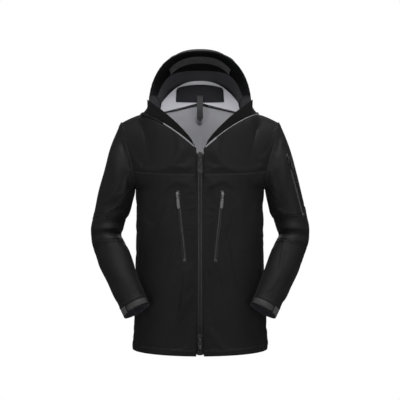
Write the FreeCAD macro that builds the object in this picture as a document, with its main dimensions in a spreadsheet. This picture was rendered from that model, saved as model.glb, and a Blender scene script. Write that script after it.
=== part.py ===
import FreeCAD, Part
import Sketcher
import math
import os
from FreeCAD import Vector

# Hooded hardshell jacket, hanging from its hang loop with the hood up and the front zip open at the neck.
# +Z is up, the front faces -Y and +X is the wearer's left.
# The cut is drawn above the hem plane (Z = 0); every sub-part's Placement then moves it so that the
# origin is the top of the hang loop, where the jacket is hung up.

os.makedirs("parts", exist_ok=True)
doc = FreeCAD.newDocument("hardshell_jacket")

# ---------------------------------------------------------------- driving dimensions

DIMENSIONS = [
    # body
    ("hem_half_width", 209.0, "half width at the hem"),
    ("waist_half_width", 194.0, "half width at the waist"),
    ("waist_height", 410.0, "height of the waist above the hem"),
    ("front_depth", 128.0, "centre front, forward of the shoulder line"),
    ("back_depth", 118.0, "back, behind the shoulder line"),
    ("fabric", 2.4, "thickness of the laminated panels as modelled"),
    ("lining", 1.4, "thickness of linings and facings as modelled"),
    ("seam_gap", 0.5, "clearance between neighbouring panels"),
    ("yoke_centre_height", 534.0, "yoke seam at the centre"),
    ("yoke_side_height", 546.0, "yoke seam at the armhole"),
    # armhole and shoulder
    ("underarm_height", 494.0, "underarm point"),
    ("underarm_half_width", 199.0, "underarm point"),
    ("armhole_flat", 29.0, "half width of the side panel's top"),
    ("armhole_half_depth", 68.0, "half depth of the armhole"),
    ("shoulder_half_width", 247.0, "shoulder tip"),
    ("shoulder_height", 694.0, "shoulder tip"),
    # neck seam
    ("neck_half_width", 182.0, "neck seam where it meets the shoulder"),
    ("neck_side_height", 722.0, "neck seam where it meets the shoulder"),
    ("neck_front_height", 598.0, "bottom of the open V"),
    ("neck_back_height", 768.0, "neck seam at the centre back"),
    ("neck_back_depth", 88.0, "neck seam at the centre back"),
    # collar
    ("collar_back_height", 839.0, "top of the inner stand collar"),
    ("chin_height", 49.0, "chin collar where it meets the hood"),
    ("hang_loop_width", 20.0, "webbing width"),
    ("hang_loop_top", 791.0, "upper end of the hang loop"),
    ("hang_loop_bottom", 709.0, "lower end of the hang loop"),
    # hood
    ("hood_half_width", 155.0, "half width of the hood"),
    ("hood_nape_half_width", 52.0, "half width where the hood ends at the nape"),
    ("rim_depth", 130.0, "rim of the hood, forward of the shoulder line"),
    ("rim_height", 892.0, "top of the rim"),
    ("crown_height", 915.0, "highest point of the hood"),
    # front zip
    ("zip_half_width", 10.5, "visible half width of the front zip"),
    ("chain_width", 6.4, "width of the closed chain"),
    ("slider_width", 12.0, "main slider"),
    ("slider_length", 26.0, "main slider"),
    ("plate", 1.4, "plate thickness of the sliders"),
    ("pull_width", 14.0, "main pull tab"),
    ("pull_length", 52.0, "main pull tab"),
    ("pull_thickness", 2.2, "pull tabs"),
    ("pin_radius", 1.0, "bar of a slider that holds its pull"),
    ("eye_clearance", 0.35, "gap between bar and eye"),
    # pocket zips
    ("small_slider_width", 9.0, "pocket slider"),
    ("small_slider_length", 17.0, "pocket slider"),
    ("small_pull_width", 9.0, "pocket pull"),
    ("small_pull_length", 40.0, "pocket pull"),
    ("tape_width", 13.0, "pocket zip tape"),
    ("coil_width", 4.4, "pocket zip coil"),
    ("slider_lift", 1.3, "underside of a slider's plate above the cloth"),
    ("bar_height", 2.9, "bar of a slider above its plate"),
    ("eye_width", 4.4, "eye of the main pulls"),
    ("short_eye_width", 4.4, "eye of the lower pull"),
    ("short_pull_width", 10.0, "lower pull tab"),
    ("short_pull_length", 30.0, "lower pull tab"),
    ("small_eye_width", 3.4, "eye of the pocket pulls"),
    ("main_slider_height", 585.0, "middle of the main slider above the hem"),
    ("lower_slider_height", 51.0, "middle of the lower slider above the hem"),
    ("stop_height", 16.0, "top of the bottom stop"),
    ("stop_bottom", 4.0, "underside of the bottom stop"),
    ("stop_thickness", 3.6, "bottom stop, front to back"),
    ("stop_lift", 0.8, "face of the bottom stop above the cloth"),
    ("stop_room", 0.3, "clearance between the bottom stop and the tapes"),
    ("tape_bottom", 5.0, "lower end of the front zip's tapes"),
    ("tape_depth", 0.8, "face of the front zip's tapes below the cloth"),
    ("tape_thickness", 1.2, "front zip's tapes"),
    ("tape_room", 0.4, "clearance between the chain and the tapes"),
    ("bead_thickness", 1.6, "corded edge of the front zip's tapes"),
    ("chain_thickness", 3.2, "teeth of the closed chain"),
    ("flap_outer_width", 34.0, "storm flap behind the front zip"),
    ("flap_inner_width", 30.0, "storm flap's backing"),
    ("flap_outer_thickness", 1.0, "storm flap behind the front zip"),
    ("flap_inner_thickness", 0.6, "storm flap's backing"),
    ("flap_depth", 4.4, "face of the storm flap below the cloth"),
    ("chest_zip_top", 480.0, "upper end of the chest zips"),
    ("chest_zip_bottom", 281.0, "lower end of the chest zips"),
    ("chest_zip_top_x", 66.0, "upper end of the chest zips"),
    ("chest_zip_bottom_x", 46.0, "lower end of the chest zips"),
    # cuffs
    ("tab_thickness", 2.2, "cuff tab"),
]

sheet = doc.addObject("Spreadsheet::Sheet", "Dimensions")
for row, (alias, value, note) in enumerate(DIMENSIONS, start=1):
    sheet.set("A%d" % row, alias)
    sheet.set("B%d" % row, str(value))
    sheet.set("C%d" % row, note)
    sheet.setAlias("B%d" % row, alias)
doc.recompute()


def dim(alias):
    """A driving dimension, read from the sheet."""
    return float(sheet.get(alias))


# The origin: top of the hang loop, just in front of the patch on the inner collar.
LOOP_Y = 73.2
TO_ORIGIN = Vector(0, -LOOP_Y, -dim("hang_loop_top"))

parts = []


def keep(obj, label, placement=None):
    """Name a finished sub-part and put it in its place."""
    obj.Label = label
    obj.Placement = placement or FreeCAD.Placement(TO_ORIGIN, FreeCAD.Rotation())
    parts.append(obj)
    return obj


# ---------------------------------------------------------------- cloth surfaces

def lerp(a, b, k):
    return a + (b - a) * k


def span(lo, hi, count):
    return [lerp(lo, hi, i / (count - 1)) for i in range(count)]


def through(points, k):
    """Point at 0..1 on a smooth curve through the given points."""
    last = len(points) - 1
    place = min(max(k, 0.0), 1.0) * last
    i = min(int(place), last - 1)
    k = place - i
    p0 = points[max(i - 1, 0)]
    p1 = points[i]
    p2 = points[i + 1]
    p3 = points[min(i + 2, last)]
    return tuple(
        0.5 * (2 * b + (c - a) * k + (2 * a - 5 * b + 4 * c - d) * k * k + (3 * b - a - 3 * c + d) * k ** 3)
        for a, b, c, d in zip(p0, p1, p2, p3))


def sheet_solid(surface, us, vs, outside, thickness):
    """Closed solid between a cloth surface moved out by `outside` and its parallel further in."""
    step = 1e-3
    outer = []
    inner = []
    for u in us:
        outer_row = []
        inner_row = []
        for v in vs:
            du = surface(u + step, v) - surface(u - step, v)
            dv = surface(u, v + step) - surface(u, v - step)
            normal = du.cross(dv).normalize()
            point = surface(u, v)
            outer_row.append(point + normal * outside)
            inner_row.append(point + normal * (outside - thickness))
        outer.append(outer_row)
        inner.append(inner_row)

    skin = Part.BSplineSurface()
    skin.interpolate(outer)
    lining_skin = Part.BSplineSurface()
    lining_skin.interpolate(inner)
    outer_poles = skin.getPoles()
    inner_poles = lining_skin.getPoles()
    across = (skin.getUMultiplicities(), skin.getUKnots(), skin.UDegree)
    along = (skin.getVMultiplicities(), skin.getVKnots(), skin.VDegree)
    straight = ([2, 2], [0.0, 1.0], 1)

    def face_of(poles, first, second):
        surface = Part.BSplineSurface()
        surface.buildFromPolesMultsKnots(poles, first[0], second[0], first[1], second[1], False, False,
                                         first[2], second[2])
        return surface.toShape()

    faces = [face_of(outer_poles, across, along), face_of(inner_poles, across, along)]
    for end in (0, -1):
        faces.append(face_of([outer_poles[end], inner_poles[end]], straight, along))
        faces.append(face_of([[row[end] for row in outer_poles], [row[end] for row in inner_poles]],
                             straight, across))
    sewn = Part.makeCompound(faces)
    sewn.sewShape(0.01)
    solid = Part.Solid(sewn.Shells[0])
    if solid.Volume < 0:
        solid.reverse()
    return solid


def cloth(label, solids):
    """A fabric sub-part made of one or more closed solids."""
    feature = doc.addObject("Part::Feature", label)
    feature.Shape = solids[0] if len(solids) == 1 else Part.makeCompound(solids)
    return keep(feature, label)


GAP = dim("seam_gap")
FABRIC = dim("fabric")
LINING = dim("lining")
FRONT = dim("front_depth")
BACK = dim("back_depth")
EDGE_STEP = 0.004      # angle, in radians, that leaves the clearance beside a side seam
UNDERARM = dim("underarm_height")
YOKE = dim("yoke_centre_height")
YOKE_SIDE = dim("yoke_side_height")


def body_half_width(height):
    """Half width of the body from the hem to the underarm: narrowest at the waist."""
    waist = dim("waist_height")
    if height < waist:
        return lerp(dim("waist_half_width"), dim("hem_half_width"), ((waist - height) / waist) ** 2)
    share = (height - waist) / (UNDERARM - waist)
    return lerp(dim("waist_half_width"), dim("underarm_half_width"), share ** 2)


def armhole_half_width(height):
    rise = max(height - UNDERARM, 0) / (dim("shoulder_height") - UNDERARM)
    return lerp(dim("underarm_half_width"), dim("shoulder_half_width"), rise ** 1.6)


def armhole_half_depth(height):
    """Lower quarter of the armhole, from the side panel's top up to the yoke seam."""
    rise = min(max((height - UNDERARM) / (YOKE_SIDE - UNDERARM), 0), 1)
    return lerp(dim("armhole_flat"), dim("armhole_half_depth"), math.sin(math.acos(1 - rise)))


SECTION_POWER = 0.9


def section_depth(angle):
    cosine = math.cos(angle)
    return math.copysign(abs(cosine) ** SECTION_POWER, cosine)


def edge_angle(height, depth):
    """Angle, from the centre line, at which a body panel ends at this height."""
    at_underarm = math.acos((dim("armhole_flat") / depth) ** (1 / SECTION_POWER))
    if height <= UNDERARM:
        return lerp(math.radians(68), at_underarm, max(height, 0) / UNDERARM)
    return math.acos((armhole_half_depth(height) / depth) ** (1 / SECTION_POWER))


def body_point(angle, height, depth):
    """Point of the front (depth > 0) or back (depth < 0) of the body at an angle from its centre line."""
    edge = edge_angle(height, abs(depth))
    if height <= UNDERARM:
        half_width = body_half_width(height)
    else:
        half_width = armhole_half_width(height) * math.sin(edge_angle(UNDERARM, abs(depth))) / math.sin(edge)
    return Vector(half_width * math.sin(angle), -depth * section_depth(angle), height)


def seam_height(across):
    return lerp(YOKE, YOKE_SIDE, across * across)


def centre_angle():
    """Angle of the front panel's edge beside the front zip."""
    return math.asin((dim("zip_half_width") + GAP) / dim("waist_half_width"))


def neck_point(degrees):
    """Neck seam, from 0 at the centre front through 90 at the shoulder to 180 at the centre back."""
    sine = math.sin(math.radians(degrees))
    cosine = math.cos(math.radians(degrees))
    x = dim("neck_half_width") * sine
    if cosine >= 0:
        share = abs(x) / dim("neck_half_width")
        rise = dim("neck_side_height") - dim("neck_front_height")
        height = dim("neck_front_height") + rise * (1.41 * share - 0.41 * share * share)
        return Vector(x, -FRONT * cosine, height)
    height = lerp(dim("neck_side_height"), dim("neck_back_height"), 1 - abs(sine))
    return Vector(x, -dim("neck_back_depth") * cosine, height)


def shoulder_point(across):
    """Shoulder line from the neck seam (0) to the tip (1)."""
    x = lerp(dim("neck_half_width"), dim("shoulder_half_width"), across)
    return Vector(x, 0, lerp(dim("neck_side_height"), dim("shoulder_height"), max(across, 0) ** 1.3))


ROLL = math.radians(82)


def rise_between(low, high, share):
    """Cloth that leaves the seam upright and rolls over towards the shoulder."""
    turn = share * ROLL
    up = math.sin(turn) / math.sin(ROLL)
    over = (math.cos(turn) - math.cos(ROLL)) / (1 - math.cos(ROLL))
    return Vector(lerp(low.x, high.x, max(up, 0) ** 1.2), lerp(high.y, low.y, over), lerp(low.z, high.z, up))


# ---------------------------------------------------------------- body panels

SIDES = [("left", 1), ("right", -1)]


def front_surface(u, v):
    """u: 0 centre front to 1 side seam; v: 0 hem to 1 yoke seam."""
    height = v * (seam_height(abs(u)) - GAP)
    angle = lerp(centre_angle(), edge_angle(height, FRONT) - EDGE_STEP, u)
    return body_point(angle, height, FRONT)


def back_surface(u, v):
    """u: -1 to 1 across the back; v: 0 hem to 1 yoke seam."""
    height = v * (seam_height(abs(u)) - GAP)
    angle = -u * (edge_angle(height, BACK) - EDGE_STEP)
    return body_point(angle, height, -BACK)


def side_surface(u, v):
    """u: -1 front seam to 1 back seam; v: 0 hem to 1 underarm."""
    height = v * (UNDERARM - 1.0)
    front = body_point(edge_angle(height, FRONT) + EDGE_STEP, height, FRONT)
    back = body_point(edge_angle(height, BACK) + EDGE_STEP, height, -BACK)
    y = lerp(front.y, back.y, (u + 1) / 2)
    depth = FRONT if y < 0 else BACK
    angle = math.acos(min(abs(y) / depth, 1) ** (1 / SECTION_POWER))
    return Vector(body_half_width(height) * math.sin(angle), y, height)


def for_side(surface, side):
    """Surface of the wearer's left side, or its mirror image running the other way."""
    if side > 0:
        return surface

    def image(u, v):
        point = surface(1 - u, v)
        return Vector(-point.x, point.y, point.z)
    return image


def front_at(x, height):
    angle = math.asin(x / body_half_width(height))
    return body_point(angle, height, FRONT)


def front_normal(x, height):
    along_x = front_at(x + 0.5, height) - front_at(x - 0.5, height)
    along_z = front_at(x, height + 0.5) - front_at(x, height - 0.5)
    return along_x.cross(along_z).normalize()


def mirror_vector(vector, side):
    return Vector(side * vector.x, vector.y, vector.z)


def strip(surface, half_width, low, high, rows, outside, thickness):
    """Strip of cloth along a zip's line: across in mm, along as a share of its length."""
    def across_and_along(u, v):
        return surface(lerp(-half_width, half_width, u), lerp(low, high, v))
    return sheet_solid(across_and_along, span(0, 1, 3), span(0, 1, rows), outside, thickness)


def chest_zip_surface(across, along):
    height = lerp(dim("chest_zip_bottom"), dim("chest_zip_top"), along)
    x = lerp(dim("chest_zip_bottom_x"), dim("chest_zip_top_x"), along) + across
    return front_at(x, height)


def turned_to(surface, side):
    """A zip's surface on the wearer's left, or its mirror image on the right."""
    if side > 0:
        return surface
    return lambda across, along: mirror_vector(surface(-across, along), -1)


SLOT_ROOM = 0.6        # clearance between a pocket zip's coil and the edge of its slot


def slot_cutter(surface, side, rows):
    """Solid that cuts a zip's opening through the cloth."""
    half_width = dim("coil_width") / 2 + SLOT_ROOM
    return strip(turned_to(surface, side), half_width, -0.005, 1.005, rows, 3.0, FABRIC + 6.0)


for name, side in SIDES:
    front = sheet_solid(for_side(front_surface, side), span(0, 1, 9), span(0, 1, 17), 0, FABRIC)
    cloth("front_panel_" + name, [front.cut(slot_cutter(chest_zip_surface, side, 5)).Solids[0]])
    flank = for_side(lambda u, v: side_surface(2 * u - 1, v), side)
    cloth("side_panel_" + name, [sheet_solid(flank, span(0, 1, 7), span(0, 1, 9), 0, FABRIC)])
cloth("back_panel", [sheet_solid(back_surface, span(-1, 1, 17), span(0, 1, 17), 0, FABRIC)])

# ---------------------------------------------------------------- yokes

YOKE_SPLIT = 0.62      # share of the yoke seam that lies below the neck, the rest lies below the shoulder


def yoke_foot(across, depth):
    """Point just above the yoke seam, 0 at the front zip or centre back, 1 at the armhole."""
    height = seam_height(across) + GAP
    start = centre_angle() if depth > 0 else 0.0
    angle = lerp(start, edge_angle(height, abs(depth)) - EDGE_STEP, across)
    return body_point(angle, height, depth)


def front_neck_yoke(u, v):
    degrees = lerp(math.degrees(math.asin((dim("zip_half_width") + GAP) / dim("neck_half_width"))), 89.5, u)
    return rise_between(yoke_foot(u * YOKE_SPLIT, FRONT), neck_point(degrees), v)


def front_shoulder_yoke(u, v):
    top = shoulder_point(u) - Vector(0, GAP, 0)
    return rise_between(yoke_foot(lerp(YOKE_SPLIT + 0.002, 1, u), FRONT), top, v)


def back_neck_yoke(u, v):
    """u: 0 at the left shoulder, through the centre back, to 1 at the right shoulder."""
    across = 1 - 2 * u
    foot = yoke_foot(abs(across) * YOKE_SPLIT, -BACK)
    foot = Vector(math.copysign(foot.x, across), foot.y, foot.z)
    return rise_between(foot, neck_point(lerp(90.5, 269.5, u)), v)


def back_shoulder_yoke(u, v):
    top = shoulder_point(1 - u) + Vector(0, GAP, 0)
    return rise_between(yoke_foot(lerp(1, YOKE_SPLIT + 0.002, u), -BACK), top, v)


for name, side in SIDES:
    cloth("front_yoke_" + name, [
        sheet_solid(for_side(front_neck_yoke, side), span(0, 1, 9), span(0, 1, 9), 0, FABRIC),
        sheet_solid(for_side(front_shoulder_yoke, side), span(0, 1, 7), span(0, 1, 9), 0, FABRIC)])
    # facing sewn inside the front neckline
    cloth("neckline_facing_" + name, [
        sheet_solid(for_side(front_neck_yoke, side), span(0.06, 0.94, 9), span(0.72, 0.985, 5),
                    -FABRIC - GAP, LINING)])
cloth("back_yoke", [
    sheet_solid(back_neck_yoke, span(0, 1, 13), span(0, 1, 9), 0, FABRIC),
    sheet_solid(for_side(back_shoulder_yoke, 1), span(0, 1, 7), span(0, 1, 9), 0, FABRIC),
    sheet_solid(for_side(back_shoulder_yoke, -1), span(0, 1, 7), span(0, 1, 9), 0, FABRIC)])
cloth("back_yoke_lining", [
    sheet_solid(back_neck_yoke, span(0.05, 0.95, 13), span(0.03, 0.97, 9), -FABRIC - 2, LINING)])

HEM_FACING_TOP = 0.05
cloth("hem_facing", [
    sheet_solid(for_side(front_surface, 1), span(0.03, 0.99, 9), span(0.004, HEM_FACING_TOP, 3),
                -FABRIC - GAP, LINING),
    sheet_solid(for_side(front_surface, -1), span(0.01, 0.97, 9), span(0.004, HEM_FACING_TOP, 3),
                -FABRIC - GAP, LINING),
    sheet_solid(back_surface, span(-0.99, 0.99, 13), span(0.004, HEM_FACING_TOP, 3), -FABRIC - GAP, LINING)])

# ---------------------------------------------------------------- sleeves

# Stations down the wearer's left sleeve below the armhole: outer edge (x, z), inner edge (x, z),
# forward place y and half depth. The forearm comes forward and in.
SLEEVE = [
    (279, 617, 203, 478, 0, 71),
    (300, 535, 208, 456, -2, 70),
    (321, 450, 220, 418, -6, 64),
    (336, 352, 240, 354, -16, 55),
    (309, 272, 214, 304, -48, 49),
    (268, 196, 186, 232, -84, 41),
    (221, 110, 148, 152, -120, 31),
]
LAST = float(len(SLEEVE))


ARMHOLE_EASE = 1.2     # the sleeve's seam stands this far out from the body's


def armhole_ring(turn):
    """Armhole seam: turn 0 at the shoulder tip, 90 at the front, 180 at the underarm, 270 at the back."""
    forward = math.copysign(1, math.sin(math.radians(turn)))
    angle = turn if turn <= 180 else 360 - turn
    if angle <= 90:
        depth = FRONT if forward > 0 else -BACK
        seam = rise_between(yoke_foot(1, depth), shoulder_point(1), 1 - angle / 90)
        return seam + Vector(ARMHOLE_EASE, 0, 0)
    if angle <= 150:
        height = lerp(UNDERARM, YOKE_SIDE, math.cos(math.radians((angle - 90) * 1.5)))
        depth = armhole_half_depth(height)
    else:
        height = UNDERARM
        depth = dim("armhole_flat") * (180 - angle) / 30
    return Vector(armhole_half_width(height) + ARMHOLE_EASE, -forward * depth, height)


def sleeve_rings():
    rings = []
    centres = [Vector((xo + xi) / 2, y, (zo + zi) / 2) for xo, zo, xi, zi, y, depth in SLEEVE]
    for i, (xo, zo, xi, zi, y, depth) in enumerate(SLEEVE):
        before = centres[max(i - 1, 0)]
        after = centres[min(i + 1, len(SLEEVE) - 1)]
        across = Vector(xo - xi, 0, zo - zi) * 0.5
        forward = (after - before).cross(across).normalize() * depth
        if forward.y > 0:
            forward = forward * -1
        rings.append((centres[i], across, forward))
    return rings


RINGS = sleeve_rings()


def sleeve_point(turn, station):
    """Left sleeve: turn as in armhole_ring, station 0 at the armhole to LAST at the cuff's edge."""
    turn = turn % 360
    cosine = math.cos(math.radians(turn))
    sine = math.sin(math.radians(turn))
    ring = [armhole_ring(turn)]
    ring += [centre + across * cosine + forward * sine for centre, across, forward in RINGS]
    return Vector(*through([(p.x, p.y, p.z) for p in ring], station / LAST))


def tube(first, last, rows, side, outside=0.0, thickness=FABRIC):
    """A length of sleeve as its front and back halves, seamed along the outer and inner edges."""
    seam = 0.35
    halves = []
    for start in (0, 180):
        def half(u, v, start=start):
            return sleeve_point(lerp(start + 180 - seam, start + seam, u), lerp(last, first, v))
        halves.append(sheet_solid(for_side(half, side), span(0, 1, 13), span(0, 1, rows), outside, thickness))
    return halves


ELBOW_TOP = 3.5
ELBOW_BOTTOM = 4.5
CUFF_TOP = 6.7
SEAM = 0.012           # station step that leaves a seam gap

SLEEVE_ZIP_TOP = (264.0, 593.0)
SLEEVE_ZIP_BOTTOM = (311.0, 414.0)


def frame_at(place, up, outward):
    """Placement with local Z along `up` and local -Y facing out."""
    z = Vector(up).normalize()
    y = (z * outward.dot(z) - outward).normalize()
    x = y.cross(z)
    return FreeCAD.Placement(TO_ORIGIN + place, FreeCAD.Rotation(x, y, z, "ZXY"))


def sleeve_at(x, z):
    """Turn and station of the point on the front of the sleeve seen at (x, z) from the front."""
    turn, station = 60.0, 2.0
    for _ in range(30):
        here = sleeve_point(turn, station)
        by_turn = (sleeve_point(turn + 0.1, station) - here) * 10
        by_station = (sleeve_point(turn, station + 0.01) - here) * 100
        slope = by_turn.x * by_station.z - by_turn.z * by_station.x
        dx, dz = x - here.x, z - here.z
        turn += (dx * by_station.z - dz * by_station.x) / slope
        station += (by_turn.x * dz - by_turn.z * dx) / slope
    return turn, station


def sleeve_normal(turn, station):
    around = sleeve_point(turn - 0.5, station) - sleeve_point(turn + 0.5, station)
    along = sleeve_point(turn, station - 0.01) - sleeve_point(turn, station + 0.01)
    return around.cross(along).normalize()


zip_top_at = sleeve_at(*SLEEVE_ZIP_TOP)
zip_bottom_at = sleeve_at(*SLEEVE_ZIP_BOTTOM)


SLEEVE_RADIUS = 62.0   # typical radius of the upper sleeve, for distances round it


def sleeve_zip_surface(across, along):
    """Sleeve under its zip: across in mm from the zip's line, along 0 at the bottom to 1 at the top."""
    turn = lerp(zip_bottom_at[0], zip_top_at[0], along)
    station = lerp(zip_bottom_at[1], zip_top_at[1], along)
    return sleeve_point(turn - math.degrees(across / SLEEVE_RADIUS), station)


for name, side in SIDES:
    upper = tube(SEAM, ELBOW_TOP - SEAM, 13, side)
    if name == "left":
        opening = slot_cutter(sleeve_zip_surface, 1, 9)
        upper = [half.cut(opening).Solids[0] for half in upper]
    cloth("upper_sleeve_" + name, upper)
    cloth("elbow_panel_" + name, tube(ELBOW_TOP, ELBOW_BOTTOM, 7, side))
    cloth("forearm_" + name, tube(ELBOW_BOTTOM + SEAM, CUFF_TOP - SEAM, 9, side))
    cloth("cuff_band_" + name, tube(CUFF_TOP, LAST, 4, side))

# ---------------------------------------------------------------- hood

# Centre line of the hood from its rim back to the nape: place y, height z and the hood's half width there.
# Behind the rim the hood closes in round the head, but it stays outside the inner collar.
CREST = [
    (-dim("rim_depth"), dim("rim_height"), dim("hood_half_width")),
    (-62, 910, 150),
    (0, dim("crown_height"), 140),
    (62, 897, 133),
    (102, 846, 125),
    (104, 802, 112),
    (dim("neck_back_depth"), dim("neck_back_height"), dim("hood_nape_half_width")),
]
HOOD_FRONT = 62.0      # place on the neck seam, in degrees, where the hood starts
HOOD_BACK = 157.0      # place where it turns across the nape
ARCH_POWER = 2 / 2.4


def hood_point(across, back):
    """across: -1 right side to 1 left side; back: 0 rim to 1 nape."""
    crest_y, crest_z, half_width = through(CREST, back)
    foot = neck_point(lerp(HOOD_FRONT, HOOD_BACK, back))
    angle = abs(across) * math.pi / 2
    out = math.sin(angle) ** ARCH_POWER
    up = max(math.cos(angle), 0.0) ** ARCH_POWER
    x = half_width * out + (foot.x - half_width) * (1 - up) ** 8
    return Vector(math.copysign(x, across), lerp(foot.y, crest_y, up), lerp(foot.z, crest_z, up))


CROWN = 0.27           # half width of the crown strip, as a share of the arch
SKIRT = 0.88           # the hood above this moves as one, the skirt below follows the neck seam
INNER = 0.85           # the hood's facing and lining end here, inside the skirt
NAPE = 0.93


def hood_sheet(u_range, v_range, columns, rows, outside, thickness):
    """Piece of the hood between two places across and two places from rim to nape."""
    return sheet_solid(hood_point, span(*u_range, columns), span(*v_range, rows), outside, thickness)


hood_lift = 0.006
cloth("hood_crown", [hood_sheet((-CROWN, CROWN), (0, NAPE - hood_lift), 9, 17, 0, FABRIC)])
for name, side in SIDES:
    near, far = sorted((side * (CROWN + 0.004), side * (SKIRT - 0.01)))
    cloth("hood_side_" + name, [hood_sheet((near, far), (0, NAPE - hood_lift), 13, 17, 0, FABRIC)])
cloth("hood_skirt", [
    hood_sheet((-0.998, -SKIRT), (0.01, NAPE), 5, 17, -0.6, FABRIC),
    hood_sheet((SKIRT, 0.998), (0.01, NAPE), 5, 17, -0.6, FABRIC),
    hood_sheet((-0.9, 0.9), (NAPE + hood_lift, 0.992), 13, 5, -0.6, FABRIC)])
cloth("hood_rim_facing", [hood_sheet((-INNER, INNER), (0.006, 0.14), 17, 4, -FABRIC - GAP, LINING)])
cloth("hood_lining", [hood_sheet((-INNER, INNER), (0.15, 0.9), 17, 17, -FABRIC - GAP, LINING)])
cloth("hood_adjuster_band", [hood_sheet((-0.48, 0.48), (0.4, 0.52), 13, 5, -FABRIC - LINING - 2 * GAP, 3.0)])

# ---------------------------------------------------------------- collar

COLLAR_END = 131.0     # place on the neck seam, in degrees, where the collar ends
COLLAR_FALL = 147.0    # how far the collar's top edge would fall by the shoulder
COLLAR_CURVE = 2.42    # power of that fall: nearly level over the nape, steep at the ends
COLLAR_FOOT = 0.93     # share of the neck seam's half width at the collar's foot
COLLAR_HEAD = 0.89     # and at its top edge, which leans in to stay clear of the hood
COLLAR_FORWARD = 0.9   # the collar stands this share of the neck seam's place, just in front of it


def collar_point(u, v):
    """Inner stand collar: u 0 left end, 0.5 centre back, 1 right end; v 0 seam to 1 top edge."""
    foot = neck_point(lerp(COLLAR_END, 360 - COLLAR_END, u))
    share = abs(foot.x) / dim("neck_half_width")
    top = dim("collar_back_height") - COLLAR_FALL * share ** COLLAR_CURVE
    height = lerp(foot.z + 1, max(top, foot.z + 9), v)
    return Vector(foot.x * lerp(COLLAR_FOOT, COLLAR_HEAD, v), foot.y * COLLAR_FORWARD, height)


def chin_point(u, v):
    """Left chin collar, lying open: u 0 near the V to 1 at the hood; v 0 neck seam to 1 free edge."""
    foot = neck_point(lerp(5, HOOD_FRONT - 1.5, u))
    height = lerp(14, dim("chin_height"), max(u, 0) ** 0.6)
    return foot + Vector(7 * v, -9 * v * (1 - 0.4 * u), height * v + 1)


cloth("collar_back", [sheet_solid(collar_point, span(0, 1, 17), span(0, 1, 6), 0, FABRIC)])
PATCH_BEHIND = 0.4     # clearance between the collar and the patch on its inside
cloth("neck_patch", [
    sheet_solid(collar_point, span(0.22, 0.78, 11), span(0.05, 0.86, 5), -FABRIC - PATCH_BEHIND, 1.0)])
for name, side in SIDES:
    cloth("chin_collar_" + name, [
        sheet_solid(for_side(chin_point, side), span(0, 1, 11), span(0, 1, 5), 0, FABRIC)])

# ---------------------------------------------------------------- hard pieces in a zip's own frame
# local X runs across the zip, -Y faces out of the cloth and Z runs up the zip; Y = 0 is the face of the cloth

SHEET = "Dimensions."


def place_by(obj, x="0", y="0", z="0"):
    for axis, expression in (("x", x), ("y", y), ("z", z)):
        obj.setExpression("Placement.Base." + axis, expression)


def block(name, length, width, height, x, y, z):
    """Box whose sizes and place (x is its middle) follow the sheet."""
    obj = doc.addObject("Part::Box", name)
    obj.setExpression("Length", length)
    obj.setExpression("Width", width)
    obj.setExpression("Height", height)
    place_by(obj, "%s - (%s) / 2" % (x, length), y, z)
    return obj


def fused(name, pieces):
    obj = doc.addObject("Part::MultiFuse", name)
    obj.Shapes = pieces
    return obj


def slider(label, kind, placement):
    """Slider: plate over the teeth, two flanges and a bar between lugs that carries the pull."""
    width = SHEET + kind + "slider_width"
    length = SHEET + kind + "slider_length"
    plate = SHEET + "plate"
    lift = SHEET + "slider_lift"
    eye = SHEET + kind + "eye_width"
    bar_y = "-(%s + %s + %sbar_height)" % (lift, plate, SHEET)
    pin = SHEET + "pin_radius"
    pieces = [block(label + "_plate", width, plate, length,
                    "0", "-(%s + %s)" % (lift, plate), "-(%s) / 2" % length)]
    for side, sign in (("left", ""), ("right", "-")):
        pieces.append(block(label + "_flange_" + side, plate, lift + " - 0.3", length,
                            "%s(%s - %s) / 2" % (sign, width, plate), "-(%s)" % lift, "-(%s) / 2" % length))
        pieces.append(block(label + "_lug_" + side, "1.2", "%sbar_height + %s" % (SHEET, pin), "2.4 * " + pin,
                            "%s(%s / 2 + 0.9)" % (sign, eye), "%s - %s" % (bar_y, pin), "-1.2 * " + pin))
    bar = doc.addObject("Part::Cylinder", label + "_bar")
    bar.setExpression("Radius", pin)
    bar.setExpression("Height", eye + " + 2")
    bar.Placement.Rotation = FreeCAD.Rotation(Vector(0, 1, 0), 90)
    place_by(bar, "-(%s + 2) / 2" % eye, bar_y, "0")
    pieces.append(bar)
    return keep(fused(label, pieces), label, placement)


def origin_plane(body, role):
    return [plane for plane in body.Origin.OriginFeatures if plane.Role == role][0]


def sketch_on(body, name, role):
    sketch = body.newObject("Sketcher::SketchObject", name)
    sketch.AttachmentSupport = [(origin_plane(body, role), "")]
    sketch.MapMode = "FlatFace"
    return sketch


def outline(sketch, points):
    """Closed straight-sided outline."""
    for i, point in enumerate(points):
        following = points[(i + 1) % len(points)]
        sketch.addGeometry(Part.LineSegment(Vector(*point, 0), Vector(*following, 0)), False)


def circle(sketch, x, y, radius):
    """Circle with its radius bound to the sheet."""
    index = sketch.addGeometry(Part.Circle(Vector(x, y, 0), Vector(0, 0, 1), 1.0), False)
    constraint = sketch.addConstraint(Sketcher.Constraint("Radius", index, 1.0))
    sketch.setExpression("Constraints[%d]" % constraint, radius)


def pad(body, sketch, name, length):
    feature = body.newObject("PartDesign::Pad", name)
    feature.Profile = sketch
    feature.SideType = "Symmetric"
    feature.setExpression("Length", length)
    return feature


def pocket(body, sketch, name, length):
    """Cut both ways from its sketch; a cut that removes nothing stops the build."""
    doc.recompute()
    before = body.Shape.Volume
    feature = body.newObject("PartDesign::Pocket", name)
    feature.Profile = sketch
    feature.SideType = "Symmetric"
    feature.setExpression("Length", length)
    doc.recompute()
    if body.Shape.Volume > before - 0.01:
        raise RuntimeError(name + " cuts nothing")
    return feature


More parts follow.
